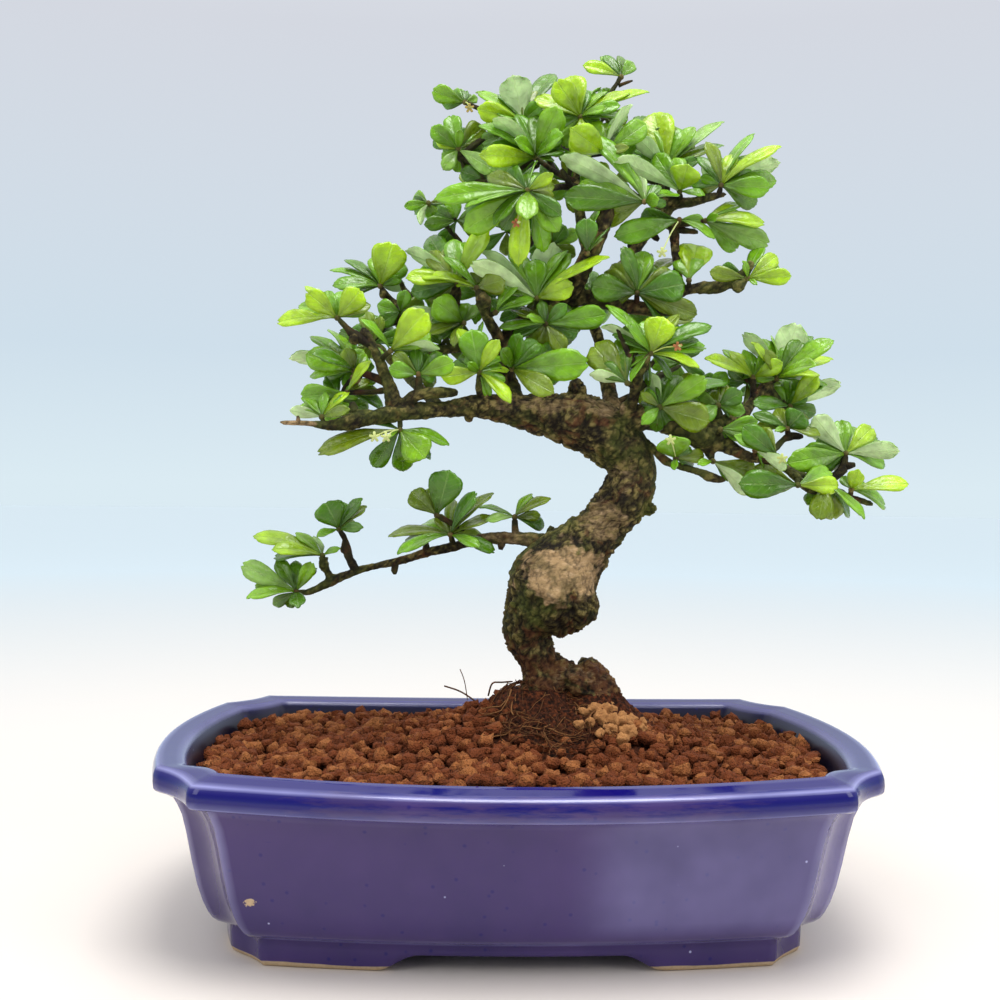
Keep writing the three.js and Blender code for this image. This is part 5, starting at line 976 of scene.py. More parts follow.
def pot_outline():
    """The outline of the pot seen from above, as (x, y, at a corner of the notch)."""
    quarter = []
    bulge_side = HALF_POT[0] - CORNER_SIDE[0]
    bulge_long = HALF_POT[1] - CORNER_LONG[1]
    for step in range(18):
        share = step / 18
        quarter.append((CORNER_SIDE[0] + bulge_side * (1 - share ** 2), CORNER_SIDE[1] * share, 0.0))
    for step in range(9):
        share = step / 8
        dent = 1.9 * math.sin(math.pi * share)
        quarter.append((mix(CORNER_SIDE[0], CORNER_LONG[0], share) - dent,
                        mix(CORNER_SIDE[1], CORNER_LONG[1], share) - dent, 1.0 if step in (0, 8) else 0.0))
    for step in range(1, 33):
        share = 1 - step / 32
        quarter.append((CORNER_LONG[0] * share, CORNER_LONG[1] + bulge_long * (1 - share ** 2), 0.0))
    left = [(-x, y, c) for x, y, c in reversed(quarter)][1:]
    upper = quarter + left
    lower = [(x, -y, c) for x, y, c in reversed(upper)][1:-1]
    return upper + lower


OUTLINE = pot_outline()


def drawn_in(x, y, inset):
    return x * (1 - inset / HALF_POT[0]), y * (1 - inset / HALF_POT[1])


def rim_sag(x, y, z):
    if abs(y) < CORNER_LONG[1] * 0.8:
        return 0.0
    return RIM_SAG * max(0.0, 1 - (x / CORNER_LONG[0]) ** 2) * min(1.0, max(0.0, (z - 40) / 30))


def notch_share(x, y):
    """One in the middle of a corner's notch, nothing at its two ends."""
    along = (abs(x) - CORNER_LONG[0]) / (CORNER_SIDE[0] - CORNER_LONG[0])
    return math.sin(math.pi * along) if 0 < along < 1 and abs(y) >= CORNER_SIDE[1] - 2 else 0.0


def foot_arch(x, y):
    """How high the foot is cut away over the middle of each side."""
    long_side = smoothstep((56 - abs(x)) / 17) if abs(y) > 50 else 0.0
    short_side = smoothstep((37 - abs(y)) / 17) if abs(x) > 80 else 0.0
    return ARCH_HEIGHT * max(long_side, short_side)


def pot_mesh():
    bm = bmesh.new()
    thin = bm.verts.layers.float.new("thin_glaze")
    thick = bm.verts.layers.float.new("thick_glaze")
    count = len(OUTLINE)
    made = sheet(bm, count, len(POT_WALL) - 1)
    for vert, column, row in made:
        z, inset, edge = POT_WALL[row]
        x, y, corner = OUTLINE[column % count]
        if inset > 27 and z < 15:
            x, y = mix(x, x * 1.012, notch_share(x, y)), mix(y, y * 1.012, notch_share(x, y))
        level_x, level_y = drawn_in(x, y, inset)
        lifted = z - rim_sag(x, y, z) if abs(y) >= CORNER_LONG[1] - 0.01 else z
        if z < 8 and 28 < inset < 42:
            lifted = max(lifted, foot_arch(level_x, level_y) + z * 0.02)
        # Along the front the lip leans outwards, so that its top shows
        front = smoothstep((-y - 70) / 20) * smoothstep((z - 62) / 8)
        lifted += front * 1.7 * max(-1.0, min(1.0, (inset - 6.5) / 4))
        vert.co = Vector((level_x, level_y, lifted))
        outside = 12 < z < 70 and inset < 25 and row < 27
        # A paler patch over the right of the front is a painted reflection, drawn with the colour of thin
        # glaze
        run = smoothstep((x - 15) / 35) * smoothstep((z - 12) / 12) * smoothstep((-y - 30) / 30)
        vert[thin] = max(edge, 0.5 * corner, PAINTED_SHEEN * run) if outside else edge
        lip = mix(0.42, 1.0, smoothstep((abs(x) - 62) / 45) if abs(y) > CORNER_SIDE[1] else 1.0)
        # Past the lip the value rises to two, which the glaze paints near black as painted shade inside the
        # pot
        vert[thick] = lip * smoothstep((row - 22) / 2) if row < 31 else 1 + smoothstep((row - 33) / 3)
    close_sheet(bm, [v for v, _, _ in made])
    bmesh.ops.recalc_face_normals(bm, faces=bm.faces)
    smooth_faces(bm)
    return bm


# Operators

class BONSAI_OT_pot(bpy.types.Operator):
    """Models the glazed pot with its foot, notched corners and drain holes"""
    bl_idname = "bonsai.pot"
    bl_label = "Pot"

    def execute(self, context):
        settings = context.scene.bonsai_pot
        drill = bmesh.new()
        for x in DRAIN_HOLES:
            bmesh.ops.create_cone(drill, cap_ends=True, segments=40, radius1=DRAIN_RADIUS,
                                  radius2=DRAIN_RADIUS, depth=24, matrix=Matrix.Translation((x, 0, 14)))
        to_frame(drill)
        cutter = new_object("drill", drill)
        pot = finish_piece("glazed_pot", pot_mesh(), [glazed_stoneware(settings)], ("pot",),
                           (("BOOLEAN", {"operation": "DIFFERENCE", "object": cutter, "solver": "EXACT"}),))
        apply_modifiers(pot)
        bpy.data.objects.remove(cutter)
        return {"FINISHED"}


def apply_modifiers(piece):
    """Makes the piece's modified shape its own mesh."""
    bpy.context.view_layer.update()
    shaped = piece.evaluated_get(bpy.context.evaluated_depsgraph_get())
    mesh = bpy.data.meshes.new_from_object(shaped)
    piece.modifiers.clear()
    piece.data = mesh


def soil_height(x, y):
    front = min(1.0, max(0.0, (-y - 45) / 45)) * max(0.0, 1 - (x / 128) ** 2)
    cx, cy, wide, deep, high = MOUND
    return SOIL_LEVEL + 6.4 * front + high * math.exp(-((x - cx) / wide) ** 2 - ((y - cy) / deep) ** 2)


def inside_outline(x, y, inset):
    """Whether a point is inside the outline drawn in by the inset."""
    x /= 1 - inset / HALF_POT[0]
    y /= 1 - inset / HALF_POT[1]
    within = False
    for index, (x1, y1, _) in enumerate(OUTLINE):
        x0, y0, _ = OUTLINE[index - 1]
        if (y0 > y) != (y1 > y) and x < x0 + (x1 - x0) * (y - y0) / (y1 - y0):
            within = not within
    return within


def in_root_ball(x, y, share):
    cx, cy, wide, deep = ROOT_BALL[:4]
    return ((x - cx) / (wide * share)) ** 2 + ((y - cy) / (deep * share)) ** 2 < 1


def fine_earth(x, y):
    """How far the fine earth round the trunk's foot covers the granules: one at its middle."""
    cx, cy, wide, deep = EARTH_PATCH
    return max(0.0, 1.25 - math.hypot((x - cx) / wide, (y - cy) / deep))


class BONSAI_OT_soil(bpy.types.Operator):
    """Fills the pot with earth and scatters clay granules over it"""
    bl_idname = "bonsai.soil"
    bl_label = "Soil"

    def execute(self, context):
        settings = context.scene.bonsai_soil
        draw = random.Random(11)
        bm = bmesh.new()
        shade = bm.verts.layers.float.new("shade")
        middle = bm.verts.layers.float_vector.new("middle")
        reach = bm.verts.layers.float.new("reach")
        granule = settings.granule / MM
        step = granule * 0.9
        rows = int(2 * HALF_POT[1] / (step * ROW_GAP))
        for row in range(rows):
            for column in range(int(2 * HALF_POT[0] / step)):
                x = -HALF_POT[0] + (column + 0.5 * (row % 2)) * step + draw.uniform(-0.3, 0.3) * step
                y = -HALF_POT[1] + row * step * ROW_GAP + draw.uniform(-0.3, 0.3) * step
                size = granule * draw.uniform(0.6, 1.3)
                angle = draw.uniform(0, 6.28)
                turn = Matrix.Rotation(angle, 4, (draw.random(), draw.random(), draw.random() + 0.1))
                lift, tint = draw.uniform(-3.0, 1.6), draw.random()
                if not inside_outline(x, y, GRANULE_INSET + size * 0.5) or in_root_ball(x, y, 0.55) or (
                        fine_earth(x, y) > draw.uniform(0.25, 0.75)):
                    continue
                # Beside and behind the tree the soil rises a little towards the wall
                if y > -60 and not inside_outline(x, y, 36):
                    lift += 1.8
                at = Vector((x, y, max(soil_height(x, y), ball_height(x, y) - 2) + lift))
                stretch = Matrix.Diagonal(
                    (draw.uniform(0.8, 1.2), draw.uniform(0.8, 1.2), draw.uniform(0.7, 1), 1))
                made = bmesh.ops.create_cube(
                    bm, size=size * 0.86, matrix=Matrix.Translation(at) @ turn @ stretch)["verts"]
                for vert in made:
                    # Each granule has a tint of its own, and the lower it lies the darker it is, as painted
                    # shade
                    vert[shade] = 0.1 + 0.5 * tint + 0.03 * lift
                    vert[middle] = at
                    vert[reach] = size * 0.55
        bmesh.ops.subdivide_edges(bm, edges=bm.edges, cuts=1, use_grid_fill=True)
        for vert in bm.verts:
            centre = Vector(vert[middle])
            arm = vert.co - centre
            rounded = mix(1.0, vert[reach] / max(arm.length, 0.1), 0.54)
            lump = 1 + 0.5 * noise.noise(vert.co * 0.36) + 0.34 * noise.noise(vert.co * 0.95)
            vert.co = centre + arm * rounded * lump
            # The underside of each granule is darker: painted shade
            vert[shade] += 0.05 * (vert.co.z - centre.z)
        smooth_faces(bm)
        take_in(bm, earth_under_granules())
        finish_piece("soil_granules", bm, [fired_clay(settings)], ("soil",))
        return {"FINISHED"}


def earth_under_granules():
    """A closed bed of earth that the granules lie on, painted dark as the shade in the gaps between them.
    """
    bed = bmesh.new()
    shade = bed.verts.layers.float.new("shade")
    count, rows = len(OUTLINE), 44
    for vert, column, row in sheet(bed, count, rows):
        x, y, _ = OUTLINE[column % count]
        share = 0.02 + 0.98 * row / rows
        x, y = drawn_in(x, y, SOIL_INSET)
        x, y = x * share, y * share
        vert.co = Vector((x, y, soil_height(x, y) - 2.2 + noise.noise(Vector((x, y, 0)) * 0.35)))
        # Painted shade: the bed takes the darkest colour, so that the gaps between granules look shaded
        vert[shade] = 0.05
    bmesh.ops.remove_doubles(bed, verts=bed.verts, dist=WELD)
    rims = [e for e in bed.edges if e.is_boundary]
    bmesh.ops.holes_fill(bed, edges=[e for e in rims if e.calc_length() < 3], sides=0)
    rim = [e for e in bed.edges if e.is_boundary]
    skirt = bmesh.ops.extrude_edge_only(bed, edges=rim)["geom"]
    for vert in (g for g in skirt if isinstance(g, bmesh.types.BMVert)):
        vert.co.z = 60.0
        vert.co.x, vert.co.y = drawn_in(vert.co.x, vert.co.y, 2.0)
    bmesh.ops.holes_fill(bed, edges=[e for e in bed.edges if e.is_boundary], sides=0)
    bmesh.ops.recalc_face_normals(bed, faces=bed.faces)
    return bed


def crumbs(x, y, coarse, fine):
    """Lumps of earth of two sizes, each given as its height, its grain and a level of the noise."""
    high, grain, level = coarse
    rise = high * noise.fractal(Vector((x, y, level)) * grain, 0.9, 2.2, 4)
    high, grain, level = fine
    return rise + high * noise.noise(Vector((x, y, level)) * grain)


def ball_point(angle, level):
    """A point on the root ball's side, or on its top where the level is one."""
    cx, cy, wide, deep, low, high = ROOT_BALL
    taper = math.sqrt(max(0.02, 1 - (0.92 * level) ** 3))
    reach = taper * (1 + 0.06 * math.sin(5 * angle + 7 * level))
    point = Vector((cx + math.cos(angle) * wide * reach, cy + math.sin(angle) * deep * reach,
                    low + level * (high - low)))
    rise = 1.6 * noise.fractal(point * 0.3, 1.0, 2.0, 3) + 1.3 * noise.noise(point * 0.75)
    return point + Vector((0, 0, 1)) * rise


def patch_point(angle, level):
    """A point on the patch of fine earth round the ball."""
    cx, cy, wide, deep = EARTH_PATCH
    share = 0.02 + 1.08 * level
    ragged = 1 + 0.14 * math.sin(3 * angle + 1) + 0.1 * math.sin(7 * angle)
    x = cx + math.cos(angle) * wide * share * ragged
    y = cy + math.sin(angle) * deep * share * ragged
    depth = 2.6 - 7.0 * share ** 3
    return Vector((x, y, soil_height(x, y) + depth + crumbs(x, y, (1.5, 0.28, 3), (1.3, 0.75, 5))))


def heap_point(angle, level):
    """A point on the heap of earth behind the stump."""
    cx, cy, wide, deep = STUMP_HEAP
    share = 0.02 + level
    x = cx + math.cos(angle) * wide * share
    y = cy + math.sin(angle) * deep * share
    depth = 9 - 12 * share ** 1.6
    return Vector((x, y, soil_height(x, y) + depth + crumbs(x, y, (1.8, 0.25, 9), (1.2, 0.7, 7))))


def mound(bm, across, along, point):
    """A closed mound of earth from a function of the turn and the way up or out."""
    made = sheet(bm, across, along)
    for vert, column, row in made:
        vert.co = point(2 * math.pi * column / across, row / along)
    close_sheet(bm, [v for v, _, _ in made], EARTH_WELD)


class BONSAI_OT_roots(bpy.types.Operator):
    """Models the earth round the trunk's foot and the thin roots that run over it"""
    bl_idname = "bonsai.roots"
    bl_label = "Root ball"

    def execute(self, context):
        settings = context.scene.bonsai_soil
        bm = bmesh.new()
        shade = bm.verts.layers.float.new("shade")
        mound(bm, 144, 60, ball_point)
        mound(bm, 144, 64, patch_point)
        mound(bm, 96, 44, heap_point)
        bmesh.ops.recalc_face_normals(bm, faces=bm.faces)
        draw = random.Random(5)
        x0, y0, wide, deep = EARTH_PATCH
        for index in range(STRANDS):
            # Most strands are finer than a pixel of a small picture, so none is drawn under 0.3 mm across
            angle, share = draw.uniform(0, 2 * math.pi), math.sqrt(draw.random())
            radius = draw.choice((0.15, 0.15, 0.2, 0.2, 0.3, 0.4))
            heading, bend = angle + draw.uniform(-1.9, 1.9), draw.uniform(-0.35, 0.35)
            x = x0 + math.cos(angle) * wide * 0.85 * share
            y = y0 + math.sin(angle) * deep * 0.85 * share
            points = []
            for step in range(8):
                z = max(soil_height(x, y) + 2.2, ball_height(x, y))
                z += 0.6 + 1.3 * math.sin(step * 0.9 + index) * draw.random()
                points.append((Vector((x, y, z)), radius * (1 - 0.08 * step)))
                x, y = x + math.cos(heading) * 2.4, y + math.sin(heading) * 2.4
                heading += bend
            tint = draw.choice((0.0, 0.1, 0.2, 0.5))
            for vert in tube(bm, points, 4):
                vert[shade] = tint
        for path in LOOSE_STRANDS:
            for vert in tube(bm, rounded_path(path, 1.5), 6):
                vert[shade] = 0.15
        for index, (x, y, width) in enumerate(CRUMBS):
            at = Vector((x, y, soil_height(x, y) + 2.6))
            made = bmesh.ops.create_icosphere(
                bm, subdivisions=3, radius=width * 0.62, matrix=Matrix.Translation(at))["verts"]
            for vert in made:
                lump = 0.7 * noise.noise(vert.co * 0.34) + 0.4 * noise.noise(vert.co * 0.8)
                vert.co = at + (vert.co - at) * (1 + lump)
                vert[shade] = 1.0
        smooth_faces(bm)
        finish_piece("root_earth", bm, [root_earth(settings)], ("root_ball",))
        return {"FINISHED"}


def ball_height(x, y):
    """Height of the root ball over a point, or nothing beside it."""
    cx, cy, wide, deep, low, high = ROOT_BALL
    out = math.hypot((x - cx) / wide, (y - cy) / deep)
    return low + (high - low) * (max(0.0, 1 - out * out) ** (1 / 3)) / 0.92 if out < 0.95 else 0.0


def limbs_with_twigs():
    """Every limb's points, with the twigs that carry the buds."""
    limbs = [list(path) for path in LIMBS]
    tufts = [tuft for spray in SPRAYS for tuft in spray] + list(BACK_TUFTS)
    for tuft in tufts:
        bud, twig = tuft[0], tuft[1]
        share = 1 - BUD_GAP / (place(bud) - place(twig)).length
        nearest = min(limbs, key=lambda path: (place(path[-1]) - place(twig)).length)
        if (place(nearest[-1]) - place(twig)).length < 2.2:
            if share <= 0.45:
                nearest.pop()
            nearest.append(tuple(bud) + (1.1,))
        elif share > 0.1:
            limbs.append([tuple(twig) + (1.32,), tuple(bud) + (1.1,)])
    limbs += [[start, end + (start[3] * 0.8,)] for start, end in STUBS]
    knots = [point for path in LIMBS for point in path if point[3] > 1.4]
    for bud in INNER_TUFTS:
        foot = min(knots, key=lambda point: (place(point) - place(bud)).length)
        bend = tuple(mix(foot[axis], bud[axis], 0.5) + (2.5 if axis == 1 else 0) for axis in range(3))
        limbs.append([foot[:3] + (1.6,), bend + (1.3,), bud + (1.0,)])
    return limbs


def on_bark(rings, x, z):
    """The place on the nearest limb's bark that the eye sees at (x, z), and the limb's number."""
    sight = (Vector((x, 0, z)) - EYE).normalized()

    def miss(ring):
        arm = ring[0] - EYE
        return (arm - sight * arm.dot(sight)).length - 0.6 * ring[1]
    centre, radius, number = min(rings, key=miss)
    reach = (centre - EYE).dot(sight)
    off = ((centre - EYE) - sight * reach).length
    depth = 0.9 * math.sqrt(max(0.0, radius * radius - off * off))
    return EYE + sight * (reach - depth), number


def worn_share(point, normal):
    """How far the bark is rubbed or healed to bare wood here."""
    seen = EYE + (point - EYE) * (-EYE.y / (point.y - EYE.y))
    ragged = 0.45 * noise.noise(point * 0.13) + 0.3 * noise.noise(point * 0.37)
    share = 0.0
    for x, z, wide, high, amount in WORN_BARK:
        out = math.hypot((seen.x - x) / wide, (seen.z - z) / high) + ragged
        share = max(share, amount * smoothstep(1.6 * (1.3 - out)))
    return share * smoothstep(-2 * normal.y)


class BONSAI_OT_wood(bpy.types.Operator):
    """Grows the trunk, branches and twigs as one body of wood with its bark"""
    bl_idname = "bonsai.wood"
    bl_label = "Wood"

    def execute(self, context):
        settings = context.scene.bonsai_wood
        noise.seed_set(NOISE_SEED)
        trunk, branches, thin = bmesh.new(), bmesh.new(), bmesh.new()
        rings = []
        for number, path in enumerate(limbs_with_twigs()):
            dense = rounded_path(path, 2.0)
            if max(radius for _, radius in dense) > 2.4:
                tube(trunk if number in TRUNK_LIMBS else branches, dense, 20)
                rings += [(centre, radius, number) for centre, radius in dense]
            else:
                tube(thin, dense, 8)
        for x, z, radius in KNOBS:
            at, number = on_bark(rings, x, z)
            bmesh.ops.create_icosphere(trunk if number in TRUNK_LIMBS else branches, subdivisions=2,
                                       radius=radius * 1.1, matrix=Matrix.Translation(at))
        tree = kdtree.KDTree(len(rings))
        for index, ring in enumerate(rings):
            tree.insert(ring[0], index)
        tree.balance()
        material = grown_bark(settings)
        relief = settings.relief / MM
        body = barked(merged(trunk, 0.75), rings, tree, relief)
        finish_piece("trunk_wood", body, [material], ("trunk",))
        body = barked(merged(branches, 0.95), rings, tree, relief)
        ridge = thin.verts.layers.float.new("ridge")
        scar = thin.verts.layers.float.new("scar")
        thin.normal_update()
        for vert in thin.verts:
            vert[ridge] = 0.35 + 0.3 * noise.noise(vert.co * 0.6)
            vert[scar] = worn_share(vert.co, vert.normal)
            vert.co += 0.35 * noise.noise_vector(vert.co * 0.45)
        take_in(body, thin)
        smooth_faces(body)
        finish_piece("branch_wood", body, [material])
        return {"FINISHED"}


def merged(bm, voxel):
    """The tubes and knobs of a mesh as one skin, evened out."""
    limbs = new_object("limbs", bm)
    modifier = limbs.modifiers.new("Merge", "REMESH")
    modifier.mode, modifier.voxel_size = "VOXEL", voxel
    apply_modifiers(limbs)
    skin = bmesh.new()
    skin.from_mesh(limbs.data)
    bpy.data.objects.remove(limbs)
    bmesh.ops.smooth_vert(skin, verts=skin.verts, factor=0.5, use_axis_x=True, use_axis_y=True,
                          use_axis_z=True)
    skin.normal_update()
    return skin


def barked(skin, rings, tree, relief):
    """Raises plates, ridges and cracks on a skin of wood, deeper where the limb is thicker."""
    scar = skin.verts.layers.float.new("scar")
    ridge = skin.verts.layers.float.new("ridge")
    for vert in skin.verts:
        _, radius, number = rings[tree.find(vert.co)[1]]
        depth = min(relief, 0.12 * radius)
        bent = vert.co + 1.5 * noise.noise_vector(vert.co * 0.12)
        plates = min(1.0, 2.4 * abs(noise.noise(bent * 0.27)))
        ribs = min(1.0, 2.6 * abs(noise.noise(bent * 0.7)))
        lumps = noise.fractal(vert.co * 0.09, 0.8, 2.1, 3)
        share = worn_share(vert.co, vert.normal)
        bare = 1 - 0.75 * share
        vert[scar] = share
        vert[ridge] = 0.55 * plates + 0.45 * ribs
        vert.co += vert.normal * depth * (1.3 * lumps + bare * (0.8 * plates + 0.55 * ribs - 0.8))
        if number in STUMP_LIMBS:
            vert.co += vert.normal * 1.5 * noise.fractal(vert.co * 0.2, 0.6, 2.2, 4)
    smooth_faces(skin)
    return skin


def blade_frame(base, tip, seen):
    """The directions and width of a leaf that the eye sees that wide."""
    along = tip - base
    length = along.length
    along = along.normalized()
    to_eye = (EYE - base).normalized()
    facing = (to_eye - along * to_eye.dot(along)).normalized()
    turned = along.cross(facing)
    if turned.z < 0:
        turned = -turned
    width = max(abs(seen), min(BLADE_RATIO * length, BLADE_MAX_WIDTH))
    lean = abs(seen) / width
    normal = facing * math.copysign(lean, seen) + turned * math.sqrt(max(0.0, 1 - lean * lean))
    return along, normal, along.cross(normal), length, width


def blade_point(base, blade, share, spread):
    along, normal, across, length, width = blade
    return (base + along * share * length + across * spread * width
            + normal * (0.07 * length * 4 * share * (1 - share) + 0.15 * abs(spread) * width))


def blade_kind(length, seen, tip):
    if length < 13 or abs(seen) < 5.5:
        return "small"
    return "notched" if math.floor(abs(tip[0]) * 7 + tip[1] * 3) % 3 == 0 else "toothed"


def leaf_mesh():
    """An empty mesh for leaves, with the blade's own map and tone."""
    bm = bmesh.new()
    return bm, (bm.loops.layers.uv.new("blade"), bm.verts.layers.float.new("tone"))


def add_leaf(bm, layers, bud, leaf, letter, draw, swing=0):
    """One leaf: a sheet from its stalk to its toothed tip, arched and folded along the midrib."""
    uv, tone_layer = layers
    x, z, seen, depth = leaf
    base, tip = place(bud), place((x, z, bud[2] + depth + swing))
    tone = TONES[letter] + draw.uniform(-0.04, 0.04)
    blade = blade_frame(base, tip, seen)
    length = blade[3]
    kind = blade_kind(length, seen, tip)
    rows = len(BLADE_ROWS) - 1
    made = sheet(bm, 6, rows)
    curl, wave, swell = draw.uniform(-0.5, 1.2), draw.uniform(0, 6.28), draw.uniform(0.03, 0.08)
    where = {}
    for vert, column, row in made:
        share, toothed, small = BLADE_ROWS[row]
        side = column / 3 - 1
        half = small if kind == "small" else toothed
        apex = 0.08 * side * side
        between = abs(abs(side) - 1 / 3) < 0.1
        if kind == "notched":
            apex += 0.045 if column == 3 else 0.0
        elif kind == "toothed":
            apex += 0.02 if between else 0.0
        point = blade_point(base, blade, share - apex * share ** 4, side * half)
        droop = curl * 0.09 * length * share * share
        swollen = swell * blade[4] * math.sin(math.pi * abs(side)) * min(1.0, 5 * share * (1.1 - share))
        ripple = 0.35 * math.sin(wave + share * 9) * abs(side) ** 2 * min(1.0, share * 2)
        vert.co = point + blade[1] * (ripple + swollen - droop)
        # A leaf that shows its underside takes tone one, which the underside paints pale, partly as painted
        # sheen
        vert[tone_layer] = tone if seen > 0 else 1.0
        where[vert] = (column / 6, share)
    for face in {f for v, _, _ in made for f in v.link_faces}:
        face.smooth = True
        for loop in face.loops:
            loop[uv].uv = where[loop.vert]


def nearest_swing(tree, bud, leaf):
    """How much nearer or farther the solid leaf hangs than it was surveyed."""
    x, z, seen, depth = leaf
    base = place(bud)
    best = (1e9, 0)
    for swing in SWINGS:
        tip = place((x, z, bud[2] + depth + swing))
        blade = blade_frame(base, tip, seen)
        spread = 0.27 if blade_kind(blade[3], seen, (x, z)) == "notched" else 0.0
        point = blade_point(base, blade, 1.0, spread)
        miss = tree.find(point)[2]
        if miss < best[0] - 0.01:
            best = (miss, swing)
    return best[1]


def vertex_tree(name):
    """The corners of a solid node, in millimetres on the pot's middle."""
    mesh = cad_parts[name].data
    tree = kdtree.KDTree(len(mesh.vertices))
    for index, vertex in enumerate(mesh.vertices):
        tree.insert((vertex.co - POT_MIDDLE) / MM, index)
    tree.balance()
    return tree


def back_leaves(draw, tuft):
    """The leaves of a tuft on the far side, as its solid has them."""
    (x, z, _), _, count = tuft
    start = draw() * 2 * math.pi
    leaves = []
    for index in range(count):
        bearing = start + index * LEAF_TURN
        reach = 11 + 6 * draw()
        width = 8 * (0.5 + 0.5 * draw())
        leaves.append((x + math.cos(bearing) * reach, z + 3 + math.sin(bearing) * reach * 0.8,
                       width, 2 + 15 * draw()))
    return leaves


def seeded_draw(seed):
    """The generator that the back leaves were drawn with."""
    state = [seed]

    def draw():
        state[0] = (state[0] + 0x6D2B79F5) & 0xFFFFFFFF
        t = state[0]
        t = ((t ^ (t >> 15)) * (t | 1)) & 0xFFFFFFFF
        t ^= (t + (((t ^ (t >> 7)) * (t | 61)) & 0xFFFFFFFF)) & 0xFFFFFFFF
        return ((t ^ (t >> 14)) & 0xFFFFFFFF) / 4294967296
    return draw


def leaves_between(bud, leaves, tones, draw, dense):
    """Smaller leaves of the same tuft that show in the gaps between the surveyed ones, farther back, in
    darker tones as painted shade.
    """
    arms = [(x - bud[0], z - bud[1], abs(seen)) for x, z, seen, _ in leaves]
    spokes = sorted((math.atan2(z, x), math.hypot(x, z), seen, tone)
                    for (x, z, seen), tone in zip(arms, tones))
    hidden = []

    def add(bearing, length, width, depth, tone):
        x, z = bud[0] + math.cos(bearing) * length, bud[1] + math.sin(bearing) * length
        hidden.append(((x, z, width, depth), SHADED_TONE[tone]))
    for index, (angle, reach, seen, tone) in enumerate(spokes):
        if dense and reach > 9:
            bearing = angle + draw.choice((-1, 1)) * draw.uniform(0.25, 0.5)
            length = reach * draw.uniform(0.6, 0.85)
            width = max(4.0, seen * draw.uniform(0.7, 0.95))
            add(bearing, length, width, draw.uniform(5, 12), tone)
        after = spokes[(index + 1) % len(spokes)]
        gap = (after[0] - angle) % (2 * math.pi)
        if not 0.35 < gap < 2.2:
            continue
        for share in ((0.5,) if gap < 1.1 else (0.33, 0.67)):
            bearing = angle + gap * share + draw.uniform(-0.08, 0.08)
            length = mix(reach, after[1], share) * draw.uniform(0.62, 0.85)
            width = max(3.0, mix(seen, after[2], share) * draw.uniform(0.75, 1.0))
            add(bearing, length, width, draw.uniform(3, 9), tone)
    return hidden


def whorl(bud, count, draw):
    """The leaves of a tuft inside the crown, which the photograph shows only in part."""
    start = draw.uniform(0, 6.28)
    leaves = []
    for index in range(count):
        bearing = start + LEAF_TURN * index
        reach = draw.uniform(10, 16)
        # Inside the crown the leaves take middle and darker tones, as painted shade
        leaves.append(((bud[0] + math.cos(bearing) * reach, bud[1] + math.sin(bearing) * reach * 0.9,
                        draw.uniform(5, 8), draw.uniform(-5, 7)), draw.choice("mmddoo")))
    return leaves


class BONSAI_OT_leaves(bpy.types.Operator):
    """Dresses every spray of leaves, each leaf where its solid one hangs"""
    bl_idname = "bonsai.leaves"
    bl_label = "Leaves"

    def execute(self, context):
        settings = context.scene.bonsai_leaves
        materials = [leaf_skin(settings, "waxed_leaf_upper_side", True),
                     leaf_skin(settings, "leaf_underside", False),
                     bpy.data.materials.get("grown_bark") or grown_bark(context.scene.bonsai_wood)]
        solid_draw = seeded_draw(SOLID_SEED)
        for _ in range(SOIL_DRAWS):
            solid_draw()
        sprays = [[(bud, tones, leaves) for bud, _, tones, leaves in tufts] for tufts in SPRAYS]
        for tuft in BACK_TUFTS:
            # The far tufts take middle and darker tones, as painted shade
            sprays.append([(tuft[0], "mdmod", back_leaves(solid_draw, tuft))])
        thickened = (("SOLIDIFY", {"thickness": settings.thickness, "offset": -1.0, "material_offset": 1}),)
        for number, tufts in enumerate(sprays, 1):
            name = f"leaf_spray_{number:02d}"
            tree = vertex_tree(name)
            draw = random.Random(number)
            bm, layers = leaf_mesh()
            ridge = bm.verts.layers.float.new("ridge")
            for order, (bud, tones, leaves) in enumerate(tufts):
                for tone, leaf in zip(tones, leaves):
                    add_leaf(bm, layers, bud, leaf, tone, draw, nearest_swing(tree, bud, leaf))
                hidden = leaves_between(bud, leaves, tones, draw, number > SPARSE_SPRAYS)
                hidden += [(leaf, "m") for spray, tuft, leaf in THIN_LEAVES
                           if (spray, tuft) == (number, order)]
                for leaf, tone in hidden:
                    add_leaf(bm, layers, bud, leaf, tone, draw)
            for bud, _, _ in tufts:
                made = bmesh.ops.create_icosphere(
                    bm, subdivisions=2, radius=BUD_RADIUS, matrix=Matrix.Translation(place(bud)))["verts"]
                for vert in made:
                    vert[ridge] = 0.75
                for face in {f for v in made for f in v.link_faces}:
                    face.material_index, face.smooth = 2, True
            finish_piece(f"leaves_{number:02d}", bm, materials, (name,), thickened)
        draw = random.Random(77)
        bm, layers = leaf_mesh()
        for bud in INNER_TUFTS:
            for leaf, tone in whorl(bud, 6, draw):
                add_leaf(bm, layers, bud, leaf, tone, draw)
        finish_piece("inner_leaves", bm, materials, (), thickened)
        return {"FINISHED"}


